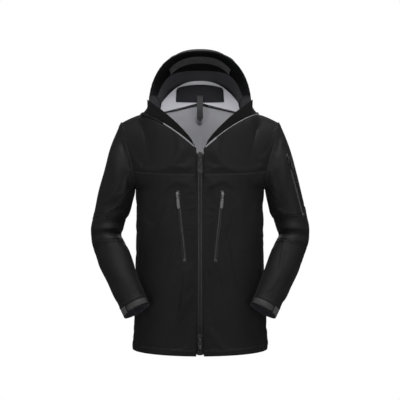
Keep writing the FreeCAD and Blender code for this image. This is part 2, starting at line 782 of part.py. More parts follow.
def pull(label, kind, placement):
    """Pull tab with an eye round the slider's bar; its origin is the bar's axis and it hangs along -Z."""
    half = dim(kind + "pull_width") / 2
    length = dim(kind + "pull_length")
    neck = dim(kind + "eye_width") / 2
    body = doc.addObject("PartDesign::Body", label)
    tab = sketch_on(body, label + "_outline", "XZ_Plane")
    corner = half * 0.35
    outline(tab, [(-neck, 0), (-neck, -4.5), (-half, -9), (-half, corner - length), (corner - half, -length),
                  (half - corner, -length), (half, corner - length), (half, -9), (neck, -4.5), (neck, 0)])
    pad(body, tab, label + "_tab", SHEET + "pull_thickness")
    eye = sketch_on(body, label + "_eye_outline", "YZ_Plane")
    circle(eye, 0, 0, SHEET + "pin_radius + " + SHEET + "eye_clearance + 0.9")
    pad(body, eye, label + "_eye", SHEET + kind + "eye_width")
    bore = sketch_on(body, label + "_bore_outline", "YZ_Plane")
    circle(bore, 0, 0, SHEET + "pin_radius + " + SHEET + "eye_clearance")
    last = pocket(body, bore, label + "_bore", SHEET + kind + "eye_width + 2")
    body.Tip = last
    return keep(body, label, placement)


def bar_placement(zip_placement):
    """Placement of a pull, moved out from its slider's own to the bar's axis."""
    out = dim("slider_lift") + dim("plate") + dim("bar_height")
    return zip_placement.multiply(FreeCAD.Placement(Vector(0, -out, 0), FreeCAD.Rotation()))


# ---------------------------------------------------------------- front zip

def front_zip_at(height):
    """Placement on the centre line of the front zip at a height above the hem."""
    return frame_at(Vector(0, -FRONT, height), Vector(0, 0, 1), Vector(0, -1, 0))


centre_line = front_zip_at(0)
tape_length = SHEET + "neck_front_height - 20"
tape_width_expression = "{0}zip_half_width - {0}chain_width / 2 - {0}tape_room".format(SHEET)
tape_middle = "({0}zip_half_width + {0}chain_width / 2) / 2".format(SHEET)
bead_middle = "({0}chain_width / 2 + {0}tape_room + {0}tape_thickness / 2)".format(SHEET)


def room_for_stop(name):
    """Space that the tapes leave round the bottom stop."""
    return block(name, "{0}slider_width + 2 * {0}stop_room".format(SHEET),
                 "{0}stop_thickness + 2".format(SHEET),
                 "{0}stop_height - {0}stop_bottom + 2 * {0}stop_room".format(SHEET),
                 "0", "-{0}stop_lift - 1".format(SHEET), "{0}stop_bottom - {0}stop_room".format(SHEET))


for name, sign in (("left", ""), ("right", "-")):
    web = block("front_tape_web_" + name, tape_width_expression, SHEET + "tape_thickness", tape_length,
                sign + tape_middle, SHEET + "tape_depth", SHEET + "tape_bottom")
    bead = block("front_tape_bead_" + name, SHEET + "tape_thickness", SHEET + "bead_thickness", tape_length,
                 sign + bead_middle, SHEET + "tape_depth", SHEET + "tape_bottom")
    tape = doc.addObject("Part::Cut", "front_tape_" + name)
    tape.Base = fused("front_tape_whole_" + name, [web, bead])
    tape.Tool = room_for_stop("front_tape_room_" + name)
    keep(tape, "front_zip_tape_" + name, centre_line)

chain_length = "{0}main_slider_height - {0}stop_height - {0}slider_length / 2 - 1".format(SHEET)
chain_bottom = SHEET + "stop_height + 0.5"
keep(fused("chain_rows", [
    block("chain_teeth", SHEET + "chain_width", SHEET + "chain_thickness", chain_length,
          "0", "-0.6", chain_bottom),
    block("chain_back", SHEET + "chain_width - 2", "0.6", chain_length, "0", "2.4", chain_bottom)]),
     "front_zip_chain", centre_line)

stop_size = "{0}stop_height - {0}stop_bottom".format(SHEET)
keep(fused("front_zip_stop_rows", [
    block("front_zip_stop_block", SHEET + "slider_width", SHEET + "stop_thickness", stop_size,
          "0", "-" + SHEET + "stop_lift", SHEET + "stop_bottom"),
    block("front_zip_stop_foot", SHEET + "chain_width", "1.2", stop_size + " - 1", "0", "2.4",
          SHEET + "stop_bottom + 0.5")]),
     "front_zip_stop", centre_line)

keep(fused("storm_flap_layers", [
    block("storm_flap_outer", SHEET + "flap_outer_width", SHEET + "flap_outer_thickness",
          SHEET + "neck_front_height - 12", "0", SHEET + "flap_depth", "5"),
    block("storm_flap_inner", SHEET + "flap_inner_width", SHEET + "flap_inner_thickness",
          SHEET + "neck_front_height - 14", "0",
          "{0}flap_depth + {0}flap_outer_thickness".format(SHEET), "6")]),
     "storm_flap", centre_line)

slider("main_slider", "", front_zip_at(dim("main_slider_height")))
pull("main_pull", "", bar_placement(front_zip_at(dim("main_slider_height"))))
slider("lower_slider", "", front_zip_at(dim("lower_slider_height")))
pull("lower_pull", "short_", bar_placement(front_zip_at(dim("lower_slider_height"))))

# ---------------------------------------------------------------- pocket zips


def pocket_zip(stem, ending, top, bottom, outward, side, stand_off):
    """Slider and pull of a pocket zip at the top of its run; returns the placement at the top of the run."""
    top = mirror_vector(top, side)
    bottom = mirror_vector(bottom, side)
    outward = mirror_vector(outward, side)
    run = frame_at(top + outward * stand_off, top - bottom, outward)
    half_length = Vector(0, 0, -dim("small_slider_length") / 2)
    at_slider = run.multiply(FreeCAD.Placement(half_length, FreeCAD.Rotation()))
    slider(stem + "_slider" + ending, "small_", at_slider)
    pull(stem + "_pull" + ending, "small_", bar_placement(at_slider))
    return run


def zip_strips(stem, ending, surface, side, rows):
    """Tape behind the cloth with the garage over its lower end, and the coil in the slot."""
    turned = turned_to(surface, side)
    cloth(stem + "_zip_tape" + ending, [
        strip(turned, dim("tape_width") / 2, -0.03, 1.03, rows, -FABRIC - 0.4, 1.0),
        strip(turned, dim("tape_width") / 2 - 1, -0.05, -0.012, 3, 1.6, 1.2)])
    cloth(stem + "_zip_coil" + ending, [
        strip(turned, dim("coil_width") / 2, 0.0, 1.0, rows, 0.9, FABRIC + 1.0)])


BAG_X = (24, 150)      # a chest pocket's bag, from beside the front zip outwards
BAG_BOTTOM = 238
BAG_TOP = 505
BAG_SLOPE = 40         # its top falls this much towards the side
mid_x = (dim("chest_zip_top_x") + dim("chest_zip_bottom_x")) / 2
mid_height = (dim("chest_zip_top") + dim("chest_zip_bottom")) / 2


def chest_bag_surface(u, v):
    return front_at(lerp(*BAG_X, u), lerp(BAG_BOTTOM, BAG_TOP - BAG_SLOPE * u, v))


BAG_ROOM = 3.0         # space between the cloth and a pocket bag, for the zip's tape
for name, side in SIDES:
    pocket_zip("chest", "_" + name, chest_zip_surface(0, 1), chest_zip_surface(0, 0),
               front_normal(mid_x, mid_height), side, 0.3)
    zip_strips("chest", "_" + name, chest_zip_surface, side, 5)
    cloth("chest_pocket_bag_" + name, [
        sheet_solid(for_side(chest_bag_surface, side), span(0, 1, 7), span(0, 1, 7),
                    -FABRIC - BAG_ROOM, LINING)])

sleeve_middle = sleeve_normal((zip_top_at[0] + zip_bottom_at[0]) / 2, (zip_top_at[1] + zip_bottom_at[1]) / 2)
pocket_zip("sleeve", "", sleeve_zip_surface(0, 1), sleeve_zip_surface(0, 0), sleeve_middle, 1, 2.4)
zip_strips("sleeve", "", sleeve_zip_surface, 1, 9)
cloth("sleeve_pocket_bag", [
    sheet_solid(lambda u, v: sleeve_point(lerp(104, 40, u), lerp(3.3, 1.1, v)), span(0, 1, 9), span(0, 1, 9),
                -FABRIC - BAG_ROOM, LINING)])

# ---------------------------------------------------------------- cuffs

# turns round the sleeve and stations down it between which each piece lies
TAB_TURNS = (158, 64)
TAB_STATIONS = (6.93, 6.72)
LOOP_PATCH_TURNS = (58, 22)
LOOP_PATCH_STATIONS = (6.95, 6.7)
TAB_LIFT = 0.6         # underside of a cuff tab above the cloth
LOOP_PATCH_LIFT = 0.3
LOOP_PATCH = 0.9       # thickness of the loop patch


def tab_surface(u, v):
    return sleeve_point(lerp(*TAB_TURNS, u), lerp(*TAB_STATIONS, v))


def patch_surface(u, v):
    return sleeve_point(lerp(*LOOP_PATCH_TURNS, u), lerp(*LOOP_PATCH_STATIONS, v))


for name, side in SIDES:
    cloth("cuff_tab_" + name, [sheet_solid(for_side(tab_surface, side), span(0, 1, 9), span(0, 1, 4),
                                           dim("tab_thickness") + TAB_LIFT, dim("tab_thickness"))])
    cloth("cuff_loop_patch_" + name, [sheet_solid(for_side(patch_surface, side), span(0, 1, 5), span(0, 1, 4),
                                                  LOOP_PATCH + LOOP_PATCH_LIFT, LOOP_PATCH)])

# ---------------------------------------------------------------- hang loop

loop = doc.addObject("PartDesign::Body", "hang_loop")
side_view = sketch_on(loop, "hang_loop_side", "YZ_Plane")
loop_top = dim("hang_loop_top")
loop_bottom = dim("hang_loop_bottom")
WEBBING = 1.6
LOOP_BOW = 11.0
LOOP_SET_BACK = 6.8    # the lower end lies this much further back than the upper
loop_ends = [(LOOP_Y, loop_top), (LOOP_Y + LOOP_SET_BACK, loop_bottom)]
loop_middle = (LOOP_Y - LOOP_BOW, (loop_top + loop_bottom) / 2)
front_arc = Part.Arc(Vector(*loop_ends[0], 0), Vector(*loop_middle, 0), Vector(*loop_ends[1], 0))
back_arc = Part.Arc(*[Vector(y + WEBBING, z, 0) for y, z in (loop_ends[0], loop_middle, loop_ends[1])])
side_view.addGeometry(front_arc, False)
side_view.addGeometry(back_arc, False)
side_view.addGeometry(Part.LineSegment(front_arc.StartPoint, back_arc.StartPoint), False)
side_view.addGeometry(Part.LineSegment(front_arc.EndPoint, back_arc.EndPoint), False)
pad(loop, side_view, "hang_loop_webbing", SHEET + "hang_loop_width")
keep(loop, "hang_loop")

# ---------------------------------------------------------------- checks and files

doc.recompute()
for obj in doc.Objects:
    if "Invalid" in obj.State or "Error" in obj.State:
        raise RuntimeError("%s: %s" % (obj.Label, obj.State))
for obj in parts:
    if obj.Shape.isNull() or not obj.Shape.isValid():
        raise RuntimeError(obj.Label + " has no valid shape")
    obj.Shape.exportStep("parts/%s.step" % obj.Label)
print(len(parts), "sub-parts")
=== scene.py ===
import math

import bmesh
import bpy
from mathutils import Matrix, Vector, noise
from mathutils.bvhtree import BVHTree


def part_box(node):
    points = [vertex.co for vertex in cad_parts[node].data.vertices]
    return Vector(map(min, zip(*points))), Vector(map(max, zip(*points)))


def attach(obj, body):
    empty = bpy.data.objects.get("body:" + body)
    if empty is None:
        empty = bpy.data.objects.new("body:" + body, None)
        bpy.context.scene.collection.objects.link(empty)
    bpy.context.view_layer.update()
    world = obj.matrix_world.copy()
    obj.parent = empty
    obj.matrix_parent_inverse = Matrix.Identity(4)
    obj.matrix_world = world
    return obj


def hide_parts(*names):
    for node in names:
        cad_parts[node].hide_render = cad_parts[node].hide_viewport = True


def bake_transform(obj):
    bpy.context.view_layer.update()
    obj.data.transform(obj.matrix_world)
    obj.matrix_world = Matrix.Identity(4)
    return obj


# Looks of the hooded hardshell jacket: sewn cloth panels, hood, collar, zips, pulls and cuffs.
# Cut coordinates have the hem at z = 0 and the shoulder line at y = 0, in metres; to_row() moves a
# point from there into the frame.

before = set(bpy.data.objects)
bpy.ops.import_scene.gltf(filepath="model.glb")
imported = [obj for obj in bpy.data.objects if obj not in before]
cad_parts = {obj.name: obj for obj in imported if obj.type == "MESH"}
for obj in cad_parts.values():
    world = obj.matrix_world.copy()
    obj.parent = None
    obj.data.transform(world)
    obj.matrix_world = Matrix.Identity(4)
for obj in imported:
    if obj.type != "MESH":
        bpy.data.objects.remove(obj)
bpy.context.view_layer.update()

# ---------------------------------------------------------------- sizes, taken from the frame

MM = 0.001
hem_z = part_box("back_panel")[0].z
shoulder_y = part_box("front_yoke_left")[1].y + 0.5 * MM


def height_of(z):
    return z - hem_z


HEM_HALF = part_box("side_panel_left")[1].x
FRONT = shoulder_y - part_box("front_panel_left")[0].y
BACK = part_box("back_panel")[1].y - shoulder_y
UNDERARM = height_of(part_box("side_panel_left")[1].z) + 1 * MM
YOKE_SIDE = height_of(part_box("front_panel_left")[1].z)
YOKE = YOKE_SIDE - 12 * MM
SHOULDER_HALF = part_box("back_yoke")[1].x
NECK_HALF = 182 * MM
SHOULDER = YOKE_SIDE + 148 * MM
NECK_SIDE = SHOULDER + 28 * MM
NECK_FRONT = height_of(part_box("storm_flap")[1].z) + 7 * MM
NECK_BACK = 768 * MM
NECK_BACK_DEPTH = 88 * MM
COLLAR_TOP = 839 * MM
CHIN_HEIGHT = 49 * MM
RIM_DEPTH = 130 * MM
RIM_TOP = 892 * MM
CROWN_TOP = height_of(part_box("hood_crown")[1].z)
HOOD_HALF = 155 * MM
NAPE_HALF = 52 * MM
WAIST_HALF = 194 * MM
WAIST = 410 * MM
UNDERARM_HALF = 199 * MM
ARMHOLE_FLAT = 29 * MM
ARMHOLE_DEPTH = 68 * MM
ZIP_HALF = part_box("front_zip_tape_left")[1].x
CLOTH = 0.7 * MM


def to_row(point):
    return Vector((point.x, point.y + shoulder_y, point.z + hem_z))


def lerp(a, b, k):
    return a + (b - a) * k


def clamp(value, low=0.0, high=1.0):
    return max(low, min(high, value))


def smooth(low, high, value):
    k = clamp((value - low) / (high - low))
    return k * k * (3 - 2 * k)


def bump_at(value, middle, width):
    """1 at the middle, falling smoothly to 0 a width away."""
    return 1 - smooth(0, width, abs(value - middle))


def span(low, high, count):
    return [lerp(low, high, i / (count - 1)) for i in range(count)]


def through(points, k):
    """Point at 0..1 on a smooth curve through the given points."""
    last = len(points) - 1
    place = clamp(k) * last
    i = min(int(place), last - 1)
    k = place - i
    p0, p1 = points[max(i - 1, 0)], points[i]
    p2, p3 = points[i + 1], points[min(i + 2, last)]
    return 0.5 * (2 * p1 + (p2 - p0) * k + (2 * p0 - 5 * p1 + 4 * p2 - p3) * k * k
                  + (3 * p1 - p0 - 3 * p2 + p3) * k ** 3)


# ---------------------------------------------------------------- cloth surfaces

def body_half_width(height):
    if height < WAIST:
        return lerp(WAIST_HALF, HEM_HALF, ((WAIST - height) / WAIST) ** 2)
    return lerp(WAIST_HALF, UNDERARM_HALF, ((height - WAIST) / (UNDERARM - WAIST)) ** 2)


def armhole_half_width(height):
    rise = clamp((height - UNDERARM) / (SHOULDER - UNDERARM), 0, 1.1)
    return lerp(UNDERARM_HALF, SHOULDER_HALF, rise ** 1.6)


def armhole_half_depth(height):
    rise = clamp((height - UNDERARM) / (YOKE_SIDE - UNDERARM))
    return lerp(ARMHOLE_FLAT, ARMHOLE_DEPTH, math.sin(math.acos(1 - rise)))


SECTION_POWER = 0.9


def section_depth(angle):
    cosine = math.cos(angle)
    return math.copysign(abs(cosine) ** SECTION_POWER, cosine)


def edge_angle(height, depth):
    at_underarm = math.acos((ARMHOLE_FLAT / depth) ** (1 / SECTION_POWER))
    if height <= UNDERARM:
        return lerp(math.radians(68), at_underarm, max(height, 0) / UNDERARM)
    return math.acos((armhole_half_depth(height) / depth) ** (1 / SECTION_POWER))


def body_point(angle, height, depth):
    edge = edge_angle(height, abs(depth))
    if height <= UNDERARM:
        half_width = body_half_width(height)
    else:
        half_width = armhole_half_width(height) * math.sin(edge_angle(UNDERARM, abs(depth))) / math.sin(edge)
    return Vector((half_width * math.sin(angle), -depth * section_depth(angle), height))


def seam_height(across):
    return lerp(YOKE, YOKE_SIDE, across * across)


def centre_angle():
    return math.asin(ZIP_HALF / WAIST_HALF)


def neck_point(degrees):
    sine = math.sin(math.radians(degrees))
    cosine = math.cos(math.radians(degrees))
    if cosine >= 0:
        share = abs(sine)
        height = NECK_FRONT + (NECK_SIDE - NECK_FRONT) * (1.41 * share - 0.41 * share * share)
        return Vector((NECK_HALF * sine, -FRONT * cosine, height))
    height = lerp(NECK_SIDE, NECK_BACK, 1 - abs(sine))
    return Vector((NECK_HALF * sine, -NECK_BACK_DEPTH * cosine, height))


def shoulder_point(across):
    x = lerp(NECK_HALF, SHOULDER_HALF, across)
    return Vector((x, 0, lerp(NECK_SIDE, SHOULDER, max(across, 0) ** 1.3)))


ROLL = math.radians(82)


def rise_between(low, high, share):
    """Cloth that leaves the seam upright and rolls over towards the shoulder."""
    turn = share * ROLL
    up = math.sin(turn) / math.sin(ROLL)
    over = (math.cos(turn) - math.cos(ROLL)) / (1 - math.cos(ROLL))
    x = lerp(low.x, high.x, max(up, 0) ** 1.2)
    return Vector((x, lerp(high.y, low.y, over), lerp(low.z, high.z, up)))


def front_surface(u, v):
    height = v * seam_height(abs(u))
    return body_point(lerp(centre_angle(), edge_angle(height, FRONT), u), height, FRONT)


def back_surface(u, v):
    height = v * seam_height(abs(u))
    return body_point(-u * edge_angle(height, BACK), height, -BACK)


def whole_back(u, v):
    """The back from the wearer's left edge (0) to the right edge (1)."""
    return back_surface(2 * u - 1, v)


def side_surface(u, v):
    height = v * UNDERARM
    front = body_point(edge_angle(height, FRONT), height, FRONT)
    back = body_point(edge_angle(height, BACK), height, -BACK)
    y = lerp(front.y, back.y, u)
    depth = FRONT if y < 0 else BACK
    angle = math.acos(min(abs(y) / depth, 1) ** (1 / SECTION_POWER))
    return Vector((body_half_width(height) * math.sin(angle), y, height))


YOKE_SPLIT = 0.62


def yoke_foot(across, depth):
    height = seam_height(across)
    start = centre_angle() if depth > 0 else 0.0
    return body_point(lerp(start, edge_angle(height, abs(depth)), across), height, depth)


def front_yoke_surface(u, v):
    """One cloth from the zip round to the armhole: its top edge is the neckline, then the shoulder line."""
    if u < YOKE_SPLIT:
        start = math.degrees(math.asin(ZIP_HALF / NECK_HALF))
        top = neck_point(lerp(start, 90, u / YOKE_SPLIT))
    else:
        top = shoulder_point((u - YOKE_SPLIT) / (1 - YOKE_SPLIT))
    return rise_between(yoke_foot(u, FRONT), top, v)


def back_yoke_surface(u, v):
    """u runs from the wearer's left armhole (-1) through the centre back (0) to the right armhole (1)."""
    across = abs(u)
    if across < YOKE_SPLIT:
        top = neck_point(180 - 90 * across / YOKE_SPLIT)
    else:
        top = shoulder_point((across - YOKE_SPLIT) / (1 - YOKE_SPLIT))
    point = rise_between(yoke_foot(across, -BACK), top, v)
    return Vector((-math.copysign(point.x, u) if u else 0.0, point.y, point.z))


# Stations down the wearer's left sleeve: outer edge (x, z), inner edge (x, z), forward place y, half depth.
SLEEVE = [
    (279, 617, 203, 478, 0, 71),
    (300, 535, 208, 456, -2, 70),
    (321, 450, 220, 418, -6, 64),
    (336, 352, 240, 354, -16, 55),
    (309, 272, 214, 304, -48, 49),
    (268, 196, 186, 232, -84, 41),
    (221, 110, 148, 152, -120, 31),
]
LAST = float(len(SLEEVE))


def armhole_ring(turn):
    forward = math.copysign(1, math.sin(math.radians(turn)))
    angle = turn if turn <= 180 else 360 - turn
    if angle <= 90:
        return rise_between(yoke_foot(1, FRONT if forward > 0 else -BACK), shoulder_point(1), 1 - angle / 90)
    if angle <= 150:
        height = lerp(UNDERARM, YOKE_SIDE, math.cos(math.radians((angle - 90) * 1.5)))
        depth = armhole_half_depth(height)
    else:
        height = UNDERARM
        depth = ARMHOLE_FLAT * (180 - angle) / 30
    return Vector((armhole_half_width(height), -forward * depth, height))


def sleeve_rings():
    rings = []
    centres = [Vector(((xo + xi) / 2, y, (zo + zi) / 2)) * MM for xo, zo, xi, zi, y, depth in SLEEVE]
    for i, (xo, zo, xi, zi, y, depth) in enumerate(SLEEVE):
        before = centres[max(i - 1, 0)]
        after = centres[min(i + 1, len(SLEEVE) - 1)]
        across = Vector((xo - xi, 0, zo - zi)) * 0.5 * MM
        forward = (after - before).cross(across).normalized() * depth * MM
        if forward.y > 0:
            forward = -forward
        rings.append((centres[i], across, forward))
    return rings


RINGS = sleeve_rings()


def sleeve_point(turn, station):
    """turn: 0 outer edge, 90 front, 180 inner edge, 270 back; station: 0 armhole to LAST cuff edge."""
    turn = turn % 360
    cosine = math.cos(math.radians(turn))
    sine = math.sin(math.radians(turn))
    line = [centre + across * cosine + forward * sine for centre, across, forward in RINGS]
    return through([armhole_ring(turn)] + line, station / LAST)


def sleeve_tube(u, station):
    """The sleeve with its turn as a share of once round."""
    return sleeve_point(360 * u, station)


# Centre line of the hood from rim to nape: half width there, place y and height z.
CREST = [
    Vector((HOOD_HALF, -RIM_DEPTH, RIM_TOP)),
    Vector((0.150, -0.062, 0.910)),
    Vector((0.140, 0, CROWN_TOP)),
    Vector((0.133, 0.062, 0.897)),
    Vector((0.125, 0.102, 0.846)),
    Vector((0.112, 0.104, 0.802)),
    Vector((NAPE_HALF, NECK_BACK_DEPTH, NECK_BACK)),
]
HOOD_FRONT = 62.0
HOOD_BACK = 157.0
ARCH_POWER = 2 / 2.4


def hood_point(across, back):
    crest = through(CREST, back)
    foot = neck_point(lerp(HOOD_FRONT, HOOD_BACK, back))
    half_width = crest.x
    angle = min(abs(across), 1) * math.pi / 2
    out = math.sin(angle) ** ARCH_POWER
    up = max(math.cos(angle), 0.0) ** ARCH_POWER
    x = half_width * out + (foot.x - half_width) * (1 - up) ** 8
    return Vector((math.copysign(x, across), lerp(foot.y, crest.y, up), lerp(foot.z, crest.z, up)))


COLLAR_END = 131.0
COLLAR_FALL = 147 * MM
COLLAR_CURVE = 2.42
COLLAR_FOOT = 0.93
COLLAR_HEAD = 0.89
COLLAR_FORWARD = 0.9
COLLAR_LEAST = 9 * MM


def collar_point(u, v):
    foot = neck_point(lerp(COLLAR_END, 360 - COLLAR_END, u))
    share = abs(foot.x) / NECK_HALF
    top = max(COLLAR_TOP - COLLAR_FALL * share ** COLLAR_CURVE, foot.z + COLLAR_LEAST)
    x = foot.x * lerp(COLLAR_FOOT, COLLAR_HEAD, v)
    return Vector((x, foot.y * COLLAR_FORWARD, lerp(foot.z + MM, top, v)))


def chin_point(u, v):
    foot = neck_point(lerp(5, HOOD_FRONT - 1.5, u))
    tip = smooth(0.6, 1.0, u)
    height = lerp(14 * MM, CHIN_HEIGHT, max(u, 0) ** 0.6) - 3 * MM * tip
    return foot + Vector((lerp(7, 0.5, tip) * MM * v, -9 * MM * v * (1 - 0.4 * u), height * v + MM))


def on_side(surface, side):
    """Surface of the wearer's left side, or its mirror image walked the other way round."""
    if side > 0:
        return surface

    def image(u, v):
        point = surface(1 - u, v)
        return Vector((-point.x, point.y, point.z))
    return image


SIDES = [("left", 1), ("right", -1)]

# ---------------------------------------------------------------- materials


class Nodes:
    """Short hand for building a procedural material."""

    def __init__(self, name):
        self.material = bpy.data.materials.new(name)
        self.material.use_nodes = True
        self.tree = self.material.node_tree
        self.shader = self.tree.nodes["Principled BSDF"]
        self.coords = self.add("ShaderNodeTexCoord").outputs["Object"]

    def add(self, kind, **values):
        node = self.tree.nodes.new(kind)
        for key, value in values.items():
            setattr(node, key, value)
        return node

    def link(self, source, target):
        self.tree.links.new(source, target)

    def noise(self, scale, detail=3.0, roughness=0.5, coords=None):
        node = self.add("ShaderNodeTexNoise")
        node.inputs["Scale"].default_value = scale
        node.inputs["Detail"].default_value = detail
        node.inputs["Roughness"].default_value = roughness
        self.link(coords or self.coords, node.inputs["Vector"])
        return node.outputs["Fac"]

    def wave(self, scale, axis, distortion=0.0, coords=None):
        node = self.add("ShaderNodeTexWave", bands_direction=axis)
        node.inputs["Scale"].default_value = scale
        node.inputs["Distortion"].default_value = distortion
        self.link(coords or self.coords, node.inputs["Vector"])
        return node.outputs["Fac"]

    def voronoi(self, scale, coords=None):
        node = self.add("ShaderNodeTexVoronoi")
        node.inputs["Scale"].default_value = scale
        self.link(coords or self.coords, node.inputs["Vector"])
        return node.outputs["Distance"]

    def math(self, operation, a, b):
        node = self.add("ShaderNodeMath", operation=operation)
        for socket, value in zip(node.inputs, (a, b)):
            if isinstance(value, (int, float)):
                socket.default_value = value
            else:
                self.link(value, socket)
        return node.outputs[0]

    def ramp(self, source, low, high, start=0.3, end=0.7):
        node = self.add("ShaderNodeValToRGB")
        node.color_ramp.elements[0].position = start
        node.color_ramp.elements[1].position = end
        node.color_ramp.elements[0].color = (*low, 1)
        node.color_ramp.elements[1].color = (*high, 1)
        self.link(source, node.inputs["Fac"])
        return node.outputs["Color"]

    def span(self, source, low, high):
        node = self.add("ShaderNodeMapRange")
        node.inputs["To Min"].default_value = low
        node.inputs["To Max"].default_value = high
        self.link(source, node.inputs["Value"])
        return node.outputs["Result"]

    def bump(self, height, distance, strength=1.0, under=None):
        node = self.add("ShaderNodeBump")
        node.inputs["Distance"].default_value = distance
        node.inputs["Strength"].default_value = strength
        self.link(height, node.inputs["Height"])
        if under:
            self.link(under, node.inputs["Normal"])
        return node.outputs["Normal"]


def grey(value, tint=0.0):
    return (value, value, value * (1 + tint))


def woven(name, low, high, roughness, sheen=0.0, crinkle=0.5, weave=0.12, pitch=1500.0, specular=0.4):
    """Woven cloth: fine crossed yarns over a slow crinkle, with a little variation in colour and gloss."""
    n = Nodes(name)
    slow = n.noise(9.0, 4.0, 0.55)
    fine = n.noise(160.0, 5.0, 0.65)
    warp = n.wave(pitch, "X", 0.6)
    weft = n.wave(pitch, "Z", 0.6)
    yarns = n.math("MULTIPLY", warp, weft)
    n.link(n.ramp(n.math("ADD", n.math("MULTIPLY", slow, 0.7), n.math("MULTIPLY", yarns, 0.3)), low, high),
           n.shader.inputs["Base Color"])
    n.link(n.span(n.math("ADD", n.math("MULTIPLY", slow, 0.5), n.math("MULTIPLY", fine, 0.5)),
                  roughness - 0.1, roughness + 0.1), n.shader.inputs["Roughness"])
    crumple = n.bump(n.noise(42.0, 5.0, 0.6), 1.6 * MM, crinkle)
    n.link(n.bump(yarns, 0.12 * MM, weave, crumple), n.shader.inputs["Normal"])
    n.shader.inputs["Specular IOR Level"].default_value = specular
    n.shader.inputs["Sheen Weight"].default_value = sheen
    n.shader.inputs["Sheen Roughness"].default_value = 0.45
    return n.material


def fuzzy(name, low, high, scale, sheen=0.1):
    """Brushed or looped pile."""
    n = Nodes(name)
    tufts = n.voronoi(scale)
    patch = n.noise(30.0, 4.0)
    shade = n.math("ADD", n.math("MULTIPLY", tufts, 0.7), n.math("MULTIPLY", patch, 0.4))
    n.link(n.ramp(shade, low, high, 0.15, 0.75), n.shader.inputs["Base Color"])
    n.link(n.span(patch, 0.85, 0.98), n.shader.inputs["Roughness"])
    n.link(n.bump(tufts, 0.5 * MM, 0.8), n.shader.inputs["Normal"])
    n.shader.inputs["Sheen Weight"].default_value = sheen
    n.shader.inputs["Specular IOR Level"].default_value = 0.15
    return n.material


def moulded(name, low, high, roughness, grain=700.0, depth=0.08, specular=0.5):
    """Moulded plastic or enamelled metal with a fine grain and worn, smoother patches."""
    n = Nodes(name)
    grit = n.noise(grain, 3.0)
    wear = n.noise(55.0, 5.0, 0.7)
    n.link(n.ramp(wear, low, high, 0.35, 0.75), n.shader.inputs["Base Color"])
    n.link(n.span(wear, roughness - 0.08, roughness + 0.12), n.shader.inputs["Roughness"])
    n.link(n.bump(grit, depth * MM, 0.5), n.shader.inputs["Normal"])
    n.shader.inputs["Specular IOR Level"].default_value = specular
    return n.material


def build_materials():
    m = {}
    m["shell"] = woven("shell_face", grey(0.0030), grey(0.0050), 0.58, sheen=0.02, crinkle=0.25,
                       specular=0.09)
    m["backer"] = woven("shell_backer", grey(0.40, 0.07), grey(0.48, 0.07), 0.8, sheen=0.2, crinkle=0.25,
                        pitch=1100.0)
    m["facing"] = woven("smooth_facing", grey(0.004, 0.1), grey(0.006, 0.1), 0.6, crinkle=0.2, specular=0.1)
    m["dark_lining"] = fuzzy("brushed_dark_lining", grey(0.045, 0.18), grey(0.065, 0.18), 900.0)
    m["band"] = woven("gathered_band", grey(0.06), grey(0.085), 0.6, sheen=0.2, crinkle=0.3)
    m["patch"] = fuzzy("neck_patch_fleece", grey(0.015, 0.2), grey(0.023, 0.2), 1200.0)
    m["webbing"] = woven("loop_webbing", grey(0.04, 0.06), grey(0.062, 0.06), 0.7, sheen=0.2, weave=0.6,
                         pitch=420.0)
    m["zip_tape"] = woven("coated_zip_tape", grey(0.0035), grey(0.006), 0.24, crinkle=0.2, weave=0.05,
                          specular=0.2)
    m["teeth"] = moulded("zip_teeth", grey(0.007), grey(0.012), 0.24, specular=0.5)
    m["slider"] = moulded("enamelled_slider", grey(0.010), grey(0.02), 0.2, specular=0.8)
    m["pull"] = moulded("moulded_pull", grey(0.007), grey(0.012), 0.26, 500.0, 0.12, specular=0.6)
    m["tab"] = moulded("moulded_cuff_tab", grey(0.011, 0.06), grey(0.016, 0.06), 0.55, 350.0, 0.15,
                       specular=0.2)
    m["loop_patch"] = fuzzy("loop_tape", grey(0.014), grey(0.035), 520.0)
    # painted light: the collar's inside face is the backer cloth made about half as bright again, standing in
    # for light that the hood keeps off the collar
    m["collar_face"] = woven("collar_face", grey(0.60, 0.07), grey(0.68, 0.07), 0.8, sheen=0.2, crinkle=0.2)
    m["binding"] = woven("neck_binding", grey(0.13, 0.05), grey(0.18, 0.05), 0.7, sheen=0.1, crinkle=0.2,
                         weave=0.3)
    m["thread"] = woven("topstitch", grey(0.014), grey(0.022), 0.6, crinkle=0.1, pitch=2600.0)
    m["cuff_lining"] = woven("cuff_lining", (0.012, 0.010, 0.016), (0.02, 0.017, 0.026), 0.7, sheen=0.1)
    return m


MATERIAL = build_materials()

# ---------------------------------------------------------------- cloth pieces

settling = []
cuts_in = {}           # how far inwards the simulation may move each panel


def finish_piece(obj, body, slot, replaces=()):
    """Ride and stand-in of a finished piece; body is a name, or (a, b, start, end), which only bakes the piece
    in place; slot is not used.
    """
    if isinstance(body, str):
        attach(obj, body)
    else:
        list(body)
        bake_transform(obj)
    if replaces:
        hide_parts(*replaces)


def mesh_object(name, verts, faces, materials, smooth_faces=True):
    mesh = bpy.data.meshes.new(name)
    mesh.from_pydata([tuple(v) for v in verts], [], faces)
    mesh.update()
    obj = bpy.data.objects.new(name, mesh)
    bpy.context.collection.objects.link(obj)
    for material in materials:
        mesh.materials.append(material)
    for polygon in mesh.polygons:
        polygon.use_smooth = smooth_faces
    return obj


def outward(surface, u, v):
    step = 1e-4
    along_u = surface(u + step, v) - surface(u - step, v)
    along_v = surface(u, v + step) - surface(u, v - step)
    normal = along_u.cross(along_v)
    if normal.length < 1e-12:
        return Vector((0, 0, 1))
    return normal.normalized()


def spaced(length, cell):
    """Shares 0..1 about a cell apart, with two closer rows beside each end for the seam's fold."""
    near = [0.0, 0.0011 / length, 0.0028 / length]
    count = max(int(round((1 - 2 * near[2]) * length / cell)), 2)
    middle = [lerp(near[2], 1 - near[2], i / count) for i in range(1, count)]
    return near + middle + [1 - k for k in reversed(near)]


